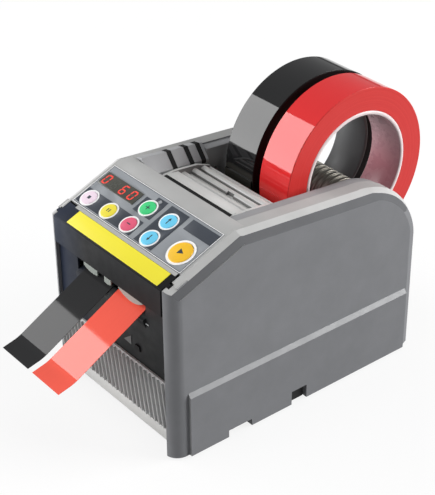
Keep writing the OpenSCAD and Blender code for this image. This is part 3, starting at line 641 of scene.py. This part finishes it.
def ribbed_front():
    """Ground plate with leaning ribs, the end ones running under the side covers."""
    low, high = (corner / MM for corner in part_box("ribbed_panel"))
    width = high.x - low.x
    ribs = math.floor(width / RIB_PITCH)
    pitch = width / ribs
    back, face = high.y, low.y + GROUND_INSET
    rise = high.z - low.z - RIB_FOOT - RIB_HEAD
    bm = bmesh.new()
    bmesh.ops.create_cube(bm, size=1.0)
    for vert in bm.verts:
        vert.co = Vector((
            vert.co.x * width,
            (face + back) / 2 + vert.co.y * (back - face),
            (low.z + high.z) / 2 + vert.co.z * (high.z - low.z),
        )) * MM
    ground = round_edges(piece_from(bm, "rib_ground_plate", rib_plastic), 0.2)
    stand_for(ground, "ribbed_panel")
    row = bar_row(
        "front_ribs",
        rib_plastic,
        Count=ribs + 2,
        Pitch=pitch * MM,
        Width=RIB_SHARE * pitch * MM,
        Depth=RIB_DEPTH * MM,
        Height=rise * MM,
        Lean=-rise * math.tan(RIB_LEAN) * MM,
        Corner=RIB_CORNER * MM,
        Start=((low.x + pitch / 2) * MM, face * MM, (low.z + RIB_FOOT) * MM),
    )
    trim_sides(row, low.x * MM, high.x * MM)
    ride_as(row, "housing")


ribbed_front()
edged("lower_plate", "outlet_plate", black_plate, 0.35)
PLATE_Y = -81.08
SENSOR_SLOT = [(30.8, 83.3), (36.5, 83.3), (36.5, 84.0), (30.8, 84.0)]
SENSOR_WINDOW = [(11.2, 61.5), (18.5, 61.0), (18.5, 67.2)]
SENSOR_KNOB = [(22.0, 60.5), (27.5, 60.5), (26.6, 63.7), (22.8, 63.7)]


def front_print(name, outline, material, thickness=0.3):
    """Small flat trim on the black plate; the outline is a loop of (x, z), in millimetres."""
    bm = bmesh.new()
    under = [Vector((x, PLATE_Y, z)) * MM for x, z in outline]
    over = [point + Vector((0, -thickness * MM, 0)) for point in under]
    add_slab(bm, under, over)
    bmesh.ops.recalc_face_normals(bm, faces=bm.faces)
    ride_as(piece_from(bm, name, material), "housing")


front_print("sensor_slot", SENSOR_SLOT, trim_light)
front_print("sensor_window", SENSOR_WINDOW, trim_grey)
front_print("sensor_knob", SENSOR_KNOB, rubber, thickness=0.8)


# Panel: deck, printed overlay, keys and display

edged("panel_deck", "deck", deck_grey, 0.4)
edged("panel_overlay", "overlay", overlay_film, 0.12)
edged("panel_patches", "slate_fields", slate_ink, 0.06)
edged("display_window", "window", window_dark, 0.2)
OVERLAY_TOP, WINDOW_TOP, KEY_TOP = 0.4, 1.0, 1.2
OVERLAY_S0, OVERLAY_S1, OVERLAY_HALF = 14.3, 48.3, 52.0
CAP_SHARE = 0.94
FLANGE = 0.7
RING_GAP, RING_HEIGHT, RING_STEPS = 0.12, 0.35, 72
RING_OUT, START_RING_OUT = 0.9, 1.15
LAMP_U, LAMP_S, LAMP_R = -0.9, 43.6, 1.2
LAMP_LOW, LAMP_HEIGHT = 0.6, 0.5
LINE_WIDTH, LINE_INSET, HIGHLIGHT_INSET = 0.35, 0.5, 0.1


def key_middle(node):
    """Middle of a key's top on the panel as (u, s), in millimetres."""
    point = centre_of(node)
    dy, dz = point.y - FRONT_Y, point.z - PANEL_FRONT_Z
    return point.x, dy * math.cos(PANEL_TILT) + dz * math.sin(PANEL_TILT)


def key_cap_piece(node, cap):
    """Key with its cap drawn in a little, so that the white ring shows all round it."""
    obj = edged(node, node + "_cap", cap, 0.5, 3)
    middle = on_panel(*key_middle(node))
    for vert in obj.data.vertices:
        away = vert.co - middle
        vert.co -= (1 - CAP_SHARE) * (Vector((away.x, 0, 0)) + away.dot(UP_SLOPE) * UP_SLOPE)
    bm = bmesh.new()
    bm.from_mesh(obj.data)
    bmesh.ops.remove_doubles(bm, verts=bm.verts, dist=CLEAN)
    bmesh.ops.dissolve_degenerate(bm, edges=bm.edges, dist=CLEAN)
    bm.to_mesh(obj.data)
    bm.free()


def circle(u, s, radius, steps):
    """Points of a circle on the panel as (u, s)."""
    turns = (2 * math.pi * step / steps for step in range(steps))
    return [(u + radius * math.cos(a), s + radius * math.sin(a)) for a in turns]


def key_rings():
    """White rings round the keys, and the small lamp between them."""
    bm = bmesh.new()
    low, high = OVERLAY_TOP, OVERLAY_TOP + RING_HEIGHT
    for node in CAPS:
        u, s = key_middle(node)
        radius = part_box(node)[1].x / MM - u - FLANGE
        inner = radius * CAP_SHARE + RING_GAP
        outer = radius + (START_RING_OUT if node == "start_key" else RING_OUT)
        loops = [
            [bm.verts.new(on_panel(*point, height)) for point in circle(u, s, reach, RING_STEPS)]
            for reach, height in ((inner, low), (inner, high), (outer, high), (outer, low))
        ]
        for loop, after in zip(loops, loops[1:] + loops[:1]):
            bridge(bm, loop, after)
    bmesh.ops.recalc_face_normals(bm, faces=bm.faces)
    stand_for(round_edges(piece_from(bm, "rings", white_ink), 0.08), "key_rings")
    lamp = flat_print("lamp", [circle(LAMP_U, LAMP_S, LAMP_R, 30)], LAMP_LOW, lamp_clear, LAMP_HEIGHT)
    ride_as(lamp, "housing")


for key, (cap, cap_slot) in CAPS.items():
    key_cap_piece(key, cap)
key_rings()


def panel_lines():
    """Painted shade and painted highlight: thin dark and white lines round the overlay's edge, where it sits
    in a shallow recess.
    """
    for name, inset, ink in (
        ("edge_painted_shade", LINE_INSET, line_painted_shade),
        ("edge_highlight", HIGHLIGHT_INSET, white_ink),
    ):
        half, s0, s1 = OVERLAY_HALF - inset, OVERLAY_S0 + inset, OVERLAY_S1 - inset
        lines = flat_print(name, frame_bars(-half, half, s0, s1, LINE_WIDTH), OVERLAY_TOP, ink)
        ride_as(lines, "housing")


panel_lines()

SEGMENTS = {
    "0": "abcdef", "1": "bc", "2": "abged", "3": "abgcd", "4": "fgbc",
    "5": "afgcd", "6": "afgedc", "7": "abc", "8": "abcdefg", "9": "abcdfg", " ": "",
}
DIGIT_LEAN = 0.12
DIGIT_GAP = 0.12


def digit_segments(u, s, w, h, t):
    """Seven bars of one digit as (name, outline), slanted a little."""
    gap = DIGIT_GAP * t
    half = h / 2

    def slant(points):
        return [(u + x + DIGIT_LEAN * y, s + y) for x, y in points]

    def lying(y):
        return [(gap + t / 2, y), (gap + t, y + t / 2), (w - gap - t, y + t / 2), (w - gap - t / 2, y),
                (w - gap - t, y - t / 2), (gap + t, y - t / 2)]

    def standing(x, y0, y1):
        return [(x, y0 + gap), (x + t / 2, y0 + gap + t / 2), (x + t / 2, y1 - gap - t / 2), (x, y1 - gap),
                (x - t / 2, y1 - gap - t / 2), (x - t / 2, y0 + gap + t / 2)]

    shapes = {
        "a": lying(h), "g": lying(half), "d": lying(0),
        "f": standing(t / 2, half, h), "b": standing(w - t / 2, half, h),
        "e": standing(t / 2, 0, half), "c": standing(w - t / 2, 0, half),
    }
    return [(name, slant(points)) for name, points in shapes.items()]


def display_digits(text, u0, pitch, s, w, h, t):
    """Lit and unlit segments of the display; a blank place has unlit ones alone."""
    lit, dim = [], []
    for place, sign in enumerate(text):
        for name, outline in digit_segments(u0 + place * pitch, s, w, h, t):
            (lit if name in SEGMENTS[sign] else dim).append(outline)
    ride_as(flat_print("lit_digits", lit, WINDOW_TOP, segment_lit, 0.08), "housing")
    ride_as(flat_print("dim_digits", dim, WINDOW_TOP, segment_dim, 0.04), "housing")


display_digits("0 60", u0=-48.4, pitch=8.4, s=OVERLAY_S0 + 20.1, w=4.6, h=6.4, t=0.95)


def key_mark(node, outlines):
    """Plain printed sign on a key."""
    u, s = key_middle(node)
    shapes = [[(u + x, s + y) for x, y in points] for points in outlines]
    mark = flat_print(node + "_mark", shapes, KEY_TOP, mark_ink, 0.04)
    ride_as(mark, body_of[node])


ARROW_UP = [bar(-0.35, 0.35, -2.4, 0.6), [(-1.1, 0.6), (1.1, 0.6), (0.0, 2.4)]]
ARROW_DOWN = [[(x, -y) for x, y in points[::-1]] for points in ARROW_UP]
POINTER = [[(-1.7, -2.0), (2.3, 0.0), (-1.7, 2.0)]]
PLUS = [bar(-1.7, 1.7, -0.3, 0.3), bar(-0.3, 0.3, 0.3, 1.7), bar(-0.3, 0.3, -1.7, -0.3)]
MINUS = [bar(-1.5, 1.5, -0.35, 0.35)]
TWO_BARS = [bar(-1.2, -0.5, -1.2, 1.2), bar(0.5, 1.2, -1.2, 1.2)]
SQUARE = [bar(-1.1, 1.1, -1.1, 1.1)]
key_mark("blue_key_back", ARROW_UP)
key_mark("blue_key_front", ARROW_DOWN)
key_mark("start_key", POINTER)
key_mark("green_key", PLUS)
key_mark("red_key", MINUS)
key_mark("yellow_key", TWO_BARS)
key_mark("pink_key", SQUARE)


# Outlet cover and yellow strip

edged("safety_cover", "outlet_cover", black_front, 0.45, 3)
BAND_EXTRA = 1.3
LID_MARGIN = bar(-45.0, 51.5, 11.5, 13.9)


def yellow_band():
    """Yellow strip on the outlet cover, with the grey margin between it and the printed overlay."""
    obj = edged("yellow_strip", "yellow_band", yellow_film, 0.1)
    middle = centre_of("yellow_strip") * MM
    for vert in obj.data.vertices:
        if (vert.co - middle).dot(UP_SLOPE) > 0:
            vert.co += BAND_EXTRA * MM * UP_SLOPE
    margin = flat_print("lid_margin", [LID_MARGIN], OVERLAY_TOP, deck_grey, 0.15)
    ride_as(margin, body_of["yellow_strip"])


yellow_band()
edged("press_shoes", "shoes", shoe_plastic, 0.25)


# Well, rail and feed cover

SHADED_BELOW = 0.55
# Painted shadow strip along the front of the feed cover
SHADOW_STRIP_SIZE = (62.0, 3.4, 0.4)
SHADOW_STRIP_Y, SHADOW_STRIP_Z = -17.8, 128.4
SHADOW_STRIP_RISE, SHADOW_STRIP_RISE_Y = 0.1, -19.58
RAIL_S = 9.0
# Painted shadow bands across the rail's slots
SLOT_SHADE_LINE = [(-50.0, 0.0), (-49.0, 0.9), (-44.5, 1.7), (-36.6, -6.4), (-36.6, -8.6)]
SLOT_SHADE_PLACES = (20.0, 33.0, 42.0)
SLOT_SHADE_HALF, SLOT_SHADE_OVER, SLOT_SHADE_UNDER = 1.7, 0.12, -0.5

edged("well_liner", "well", liner_grey, 0.4)
edged("left_rail", "rail", rail_plastic, 1.0, 3)
ridged_cover = edged("feed_cover", "ridged_cover", cover_plastic, 0.4)
# Painted light and shade on the ridges: faces that look up keep the light plastic, the rest take the painted
# shade
ridged_cover.data.materials.append(cover_painted_shade)
for face in ridged_cover.data.polygons:
    if face.normal.z < SHADED_BELOW:
        face.material_index = 1


def cover_painted_shadow():
    """Painted shadow: a dark strip along the front of the feed cover, where the front of its hump lies in
    shade.
    """
    bm = bmesh.new()
    bmesh.ops.create_cube(bm, size=1.0)
    wide, deep, thick = SHADOW_STRIP_SIZE
    for vert in bm.verts:
        y = SHADOW_STRIP_Y + deep * vert.co.y
        z = SHADOW_STRIP_Z + SHADOW_STRIP_RISE * (y - SHADOW_STRIP_RISE_Y) + thick * vert.co.z
        vert.co = Vector((wide * vert.co.x, y, z)) * MM
    ride_as(piece_from(bm, "cover_painted_shadow", rubber), "feed_lid")


def rail_slot_painted_shadow():
    """Painted shadow: dark bands laid across the barrel of the rail where its slots are, for the shade inside
    them.
    """
    section = (
        (SLOT_SHADE_OVER, -SLOT_SHADE_HALF),
        (SLOT_SHADE_OVER, SLOT_SHADE_HALF),
        (SLOT_SHADE_UNDER, SLOT_SHADE_HALF),
        (SLOT_SHADE_UNDER, -SLOT_SHADE_HALF),
    )
    bm = bmesh.new()
    for s in SLOT_SHADE_PLACES:
        rows = []
        for i, (u, n) in enumerate(SLOT_SHADE_LINE):
            ahead = SLOT_SHADE_LINE[min(i + 1, len(SLOT_SHADE_LINE) - 1)]
            behind = SLOT_SHADE_LINE[max(i - 1, 0)]
            out = Vector((behind[1] - ahead[1], ahead[0] - behind[0])).normalized()
            rows.append([
                bm.verts.new(on_roof(u + d * out.x, RAIL_S + s + w, n + d * out.y)) for d, w in section
            ])
        for row, after in zip(rows, rows[1:]):
            bridge(bm, row, after)
        bm.faces.new(rows[0])
        bm.faces.new(rows[-1])
    bmesh.ops.recalc_face_normals(bm, faces=bm.faces)
    ride_as(piece_from(bm, "rail_slot_painted_shadow", rubber), "housing")


cover_painted_shadow()
rail_slot_painted_shadow()


# Tape rolls on their cores

FILM = 0.3
FILM_EXTRA, STRIP_EXTRA = 1.1, 1.7
ROLL_STEPS = 160
ROLL_INSET, ROLL_EDGE, ROLL_FIT = 0.1, 0.35, 0.05
LAYER_WAVES = ((0.012, 1.7, 0.0), (0.01, 0.61, 1.0))
CORE_WALL, CORE_EDGE = 2.6, 0.5


def wound_profile(x0, x1, inner, outer, layers):
    """Loop of (x, radius) for a wound roll, the layers on its sides drifting a little in and out."""

    def side(x, sign):
        rows = []
        for layer in range(layers + 1):
            r = inner + (outer - inner) * layer / layers
            drift = sum(reach * math.sin(layer * rate + start) for reach, rate, start in LAYER_WAVES)
            rows.append((x - sign * (ROLL_INSET + drift), r))
        return rows

    left, right = side(x0, -1), side(x1, 1)
    shoulder = outer - ROLL_EDGE
    left[-1:] = [(left[-1][0], shoulder), (x0 + ROLL_INSET + ROLL_EDGE, outer)]
    right[-1:] = [(right[-1][0], shoulder), (x1 - ROLL_INSET - ROLL_EDGE, outer)]
    return left + right[::-1]


def film_box(node):
    """Box of a roll, core or tape end in millimetres, let out on the side that faces the other tape."""
    low, high = (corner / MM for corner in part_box(node))
    extra = STRIP_EXTRA if "strip" in node else FILM_EXTRA
    if "red" in node:
        low.x -= extra
    else:
        high.x += extra
    return low, high


def tape_roll(name, node, film, edge):
    """Wound roll, glossy outside and finely ringed on its sides."""
    low, high = film_box(node)
    core_low, core_high = (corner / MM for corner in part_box(node.replace("tape", "core")))
    middle = (low + high) / 2
    outer = (high.y - low.y) / 2
    inner = (core_high.y - core_low.y) / 2 + ROLL_FIT
    layers = round((outer - inner) / FILM)
    profile = wound_profile(low.x, high.x, inner, outer, layers)
    obj = ring(name, profile, middle.y, middle.z, film, ROLL_STEPS)
    obj.data.materials.append(edge)
    for face in obj.data.polygons:
        face.material_index = 1 if abs(face.normal.x) > 0.3 else 0
        face.use_smooth = True
    obj.data.set_sharp_from_angle(angle=math.radians(30))
    stand_for(obj, node)


def tape_core(name, node, wall, rim):
    """Core of a roll with chamfered edges, its end faces in the rim's finish."""
    low, high = film_box(node)
    middle = (low + high) / 2
    outer = (high.y - low.y) / 2
    inner = outer - CORE_WALL
    c = CORE_EDGE
    profile = [(low.x, inner + c), (low.x + c, inner), (high.x - c, inner), (high.x, inner + c),
               (high.x, outer - c), (high.x - c, outer), (low.x + c, outer), (low.x, outer - c)]
    obj = ring(name, profile, middle.y, middle.z, wall, ROLL_STEPS)
    obj.data.materials.append(rim)
    for face in obj.data.polygons:
        face.material_index = 1 if abs(face.normal.x) > 0.6 else 0
    obj.data.set_sharp_from_angle(angle=math.radians(50))
    stand_for(obj, node)


tape_roll("red_roll", "red_tape", red_film, red_edge)
tape_roll("black_roll", "black_tape", black_film, black_edge)
tape_core("red_roll_core", "red_core", core_pale, core_rim)
tape_core("black_roll_core", "black_core", core_dark, core_dark)


# Cut tape ends at the outlet

OUTLET_Y, OUTLET_Z = -55.574, 101.308
OUTLET_SLOPE = math.radians(29.0)
FREE_SLOPE = math.atan2(2.6, 10.6)
STRAIGHT_END_Y = FRONT_Y - 42.0
STRAIGHT_STEPS, FREE_STEPS, BEND_STEPS = 24, 10, 4


def outlet_z(y):
    """Height of the film on the outlet's slope, in millimetres."""
    return OUTLET_Z + math.tan(OUTLET_SLOPE) * (y - OUTLET_Y)


def tape_end(name, node, material):
    """Film lying on the outlet lip, its free end bent up in a soft curve."""
    low, high = film_box(node)
    path = []
    for i in range(STRAIGHT_STEPS + 1):
        y = high.y + (STRAIGHT_END_Y - high.y) * i / STRAIGHT_STEPS
        path.append((y, outlet_z(y)))
    y, z = path[-1]
    length = (STRAIGHT_END_Y - low.y) / FREE_STEPS
    for i in range(FREE_STEPS):
        share = min(1.0, (i + 0.5) / BEND_STEPS)
        slope = OUTLET_SLOPE + (FREE_SLOPE - OUTLET_SLOPE) * share
        y -= length
        z -= length * math.tan(slope)
        path.append((y, z))
    bm = bmesh.new()
    rows = []
    half = FILM / 2
    for i, (y, z) in enumerate(path):
        ahead = path[min(i + 1, len(path) - 1)]
        behind = path[max(i - 1, 0)]
        along = Vector((ahead[0] - behind[0], ahead[1] - behind[1])).normalized()
        up = Vector((along.y, -along.x))
        rows.append([
            bm.verts.new(Vector((x, y + side * half * up.x, z + side * half * up.y)) * MM)
            for x, side in ((low.x, 1), (high.x, 1), (high.x, -1), (low.x, -1))
        ])
    for row, after in zip(rows, rows[1:]):
        bridge(bm, row, after)
    bm.faces.new(rows[0])
    bm.faces.new(rows[-1][::-1])
    bmesh.ops.recalc_face_normals(bm, faces=bm.faces)
    obj = piece_from(bm, name, material)
    for face in obj.data.polygons:
        face.use_smooth = True
    obj.data.set_sharp_from_angle(angle=math.radians(40))
    stand_for(obj, node)


tape_end("red_tape_end", "red_strip", red_strip_film_painted_sheen)
tape_end("black_tape_end", "black_strip", black_strip_film)


# Base, rear and what shows through the openings

edged("base_plate", "base", rib_ground, 0.5)
BLOCK_MIDDLE = Vector((58.6, 10.4, 6.0))
BLOCK_SIZE = Vector((2.0, 11.4, 9.4))


def notch_blocks():
    """Dark latch blocks behind the two deeper notches of the covers."""
    bm = bmesh.new()
    for mirror in (-1, 1):
        middle = Vector((mirror * BLOCK_MIDDLE.x, BLOCK_MIDDLE.y, BLOCK_MIDDLE.z))
        for vert in bmesh.ops.create_cube(bm, size=1.0)["verts"]:
            vert.co = (middle + BLOCK_SIZE * vert.co) * MM
    blocks = round_edges(piece_from(bm, "notch_blocks", rubber), 0.6)
    ride_as(blocks, "housing")


notch_blocks()
edged("feet", "rubber_feet", rubber, 0.8, 3)
edged("rear_panel", "rear_plate", case_side, 0.4)
edged("rocker", "rocker_cap", black_case, 0.5, 3)
edged("power_inlet", "inlet", black_case, 0.3)
edged("hub_roller", "grooved_hub", hub_metal, 0.25)
paint(turned_steel, "case_screws", "feed_roller", "front_support", "rear_support", "crank")
paint(sheet_steel, "left_frame", "right_frame", "blade_carriage")
paint(blade_steel, "moving_blade", "fixed_blade")
paint(dark_steel, "feed_motor", "cutter_motor", "blade_guides")
paint(bronze, "bearings", "motor_pinion")
paint(rubber, "feed_rings")
paint(nylon, "feed_gear")
paint(shoe_plastic, "pinch_roller")
paint(cream_roller, "guide_roller")
paint(board_lacquer, "control_board")
paint(black_case, "tact_switches")
paint(red_film, "red_web")
paint(black_film, "black_web")


# Floor, light and camera

FLOOR_HALF = 6.0
FLOOR_NEAR, FLOOR_FAR = 0.85, 1.6
FLOOR_GLOW = 0.84
ROOM_LIGHT, ROOM_MIRRORED, ROOM_SEEN = 0.22, 0.1, 0.62
CAMERA_AZIMUTH, CAMERA_ELEVATION, CAMERA_ROLL = (math.radians(a) for a in (51.47, 31.65, -0.5))
CAMERA_DISTANCE = 0.89029
CAMERA_FOCAL_PX = 1452.62
CAMERA_TARGET = Vector((-7.95, 3.87, 80.66)) * MM


def shown_rays(tree):
    """1 for rays straight to the camera, and 1 for these and the ones mirrored or through clear pieces."""
    path = tree.nodes.new("ShaderNodeLightPath").outputs
    mirrored = calculate(tree, "MAXIMUM", path["Is Glossy Ray"], path["Is Transmission Ray"])
    return path["Is Camera Ray"], calculate(tree, "MAXIMUM", path["Is Camera Ray"], mirrored)


def studio_floor():
    """Pale floor, white where it is seen; what the pieces mirror of it is greyer far off."""
    bm = bmesh.new()
    bmesh.ops.create_grid(bm, x_segments=1, y_segments=1, size=FLOOR_HALF)
    floor = piece_from(bm, "studio_floor")
    material, tree, shader, place = new_finish("floor_white")
    near = spread(tree, length_of(tree, place), 1.0, 0.0, FLOOR_NEAR, FLOOR_FAR)
    straight, shown = shown_rays(tree)
    near = calculate(tree, "MAXIMUM", near, straight)
    white = mix_colours(tree, add_noise(tree, place, 3.0), linear("fbfbfb"), linear("ffffff"))
    seen_white = mix_colours(tree, shown, linear("a6a6a6"), white)
    tree.links.new(mix_colours(tree, near, linear("8e8e8e"), seen_white), shader.inputs["Base Color"])
    shader.inputs["Roughness"].default_value = 0.9
    shader.inputs["Specular IOR Level"].default_value = 0.0
    glow = tree.nodes.new("ShaderNodeEmission")
    glow.inputs["Color"].default_value = (1, 1, 1, 1)
    share = calculate(tree, "MULTIPLY", shown, spread(tree, near, 0.0, FLOOR_GLOW, 0.0, 1.0))
    blend = tree.nodes.new("ShaderNodeMixShader")
    tree.links.new(share, blend.inputs["Fac"])
    tree.links.new(shader.outputs["BSDF"], blend.inputs[1])
    tree.links.new(glow.outputs["Emission"], blend.inputs[2])
    tree.links.new(blend.outputs["Shader"], tree.nodes["Material Output"].inputs["Surface"])
    floor.data.materials.append(material)


def studio_world():
    """Even soft room light, white where the camera looks into it and dimmer where pieces mirror it."""
    world = bpy.data.worlds.new("studio")
    bpy.context.scene.world = world
    world.use_nodes = True
    tree = world.node_tree
    room = tree.nodes["Background"]
    room.inputs["Color"].default_value = (0.98, 0.99, 1.0, 1)
    straight, shown = shown_rays(tree)
    mirrored = calculate(tree, "MULTIPLY_ADD", shown, ROOM_MIRRORED, ROOM_LIGHT)
    seen = calculate(tree, "MULTIPLY_ADD", straight, ROOM_SEEN, mirrored)
    tree.links.new(seen, room.inputs["Strength"])


def softbox(name, place, facing, across, width, height, radiance):
    """Rectangular light of a given brightness; across is the way its width runs."""
    lamp = bpy.data.lights.new(name, "AREA")
    lamp.shape = "RECTANGLE"
    lamp.size = width
    lamp.size_y = height
    lamp.energy = radiance * math.pi * width * height
    obj = bpy.data.objects.new(name, lamp)
    bpy.context.scene.collection.objects.link(obj)
    behind = -Vector(facing).normalized()
    side = Vector(across)
    side = (side - side.dot(behind) * behind).normalized()
    turn = Matrix((side, behind.cross(side), behind)).transposed().to_4x4()
    obj.matrix_world = Matrix.Translation(place) @ turn
    obj.visible_camera = False
    return obj


studio_floor()
studio_world()
# The upper edge of the left light shows on the rolls and half way down the tape ends
softbox(
    "left_front",
    place=(-2.062, -1.599, 0.84),
    facing=(0.624, 0.676, -0.391),
    across=(0.713, -0.29, 0.639),
    width=1.9,
    height=2.7,
    radiance=5.0,
)
softbox(
    "right_rear",
    place=(1.5, 1.9, 1.0),
    facing=(-0.58, -0.73, -0.36),
    across=(0.78, -0.62, 0.0),
    width=1.6,
    height=1.4,
    radiance=10.8,
)
softbox(
    "front_fill",
    place=(-0.7, -2.2, 0.45),
    facing=(0.3, 0.94, -0.17),
    across=(0.95, -0.3, 0.0),
    width=0.9,
    height=0.9,
    radiance=7.0,
)
softbox(
    "overhead",
    place=(0.1, 0.3, 2.0),
    facing=(0.0, -0.1, -1.0),
    across=(1.0, 0.0, 0.0),
    width=1.4,
    height=1.4,
    radiance=0.9,
)


def photo_camera():
    """Camera at the photograph's viewing angle."""
    back = Vector((
        math.sin(CAMERA_AZIMUTH) * math.cos(CAMERA_ELEVATION),
        -math.cos(CAMERA_AZIMUTH) * math.cos(CAMERA_ELEVATION),
        math.sin(CAMERA_ELEVATION),
    ))
    level = Vector((math.cos(CAMERA_AZIMUTH), math.sin(CAMERA_AZIMUTH), 0))
    upright = back.cross(level)
    right = math.cos(CAMERA_ROLL) * level + math.sin(CAMERA_ROLL) * upright
    up = -math.sin(CAMERA_ROLL) * level + math.cos(CAMERA_ROLL) * upright
    data = bpy.data.cameras.new("photo_camera")
    data.sensor_width = 36.0
    data.lens = CAMERA_FOCAL_PX / IMAGE_H * data.sensor_width
    camera = bpy.data.objects.new("photo_camera", data)
    bpy.context.scene.collection.objects.link(camera)
    turn = Matrix((right, up, back)).transposed().to_4x4()
    camera.matrix_world = Matrix.Translation(CAMERA_TARGET + CAMERA_DISTANCE * back) @ turn
    bpy.context.scene.camera = camera


photo_camera()
bpy.context.scene.view_settings.view_transform = "Standard"
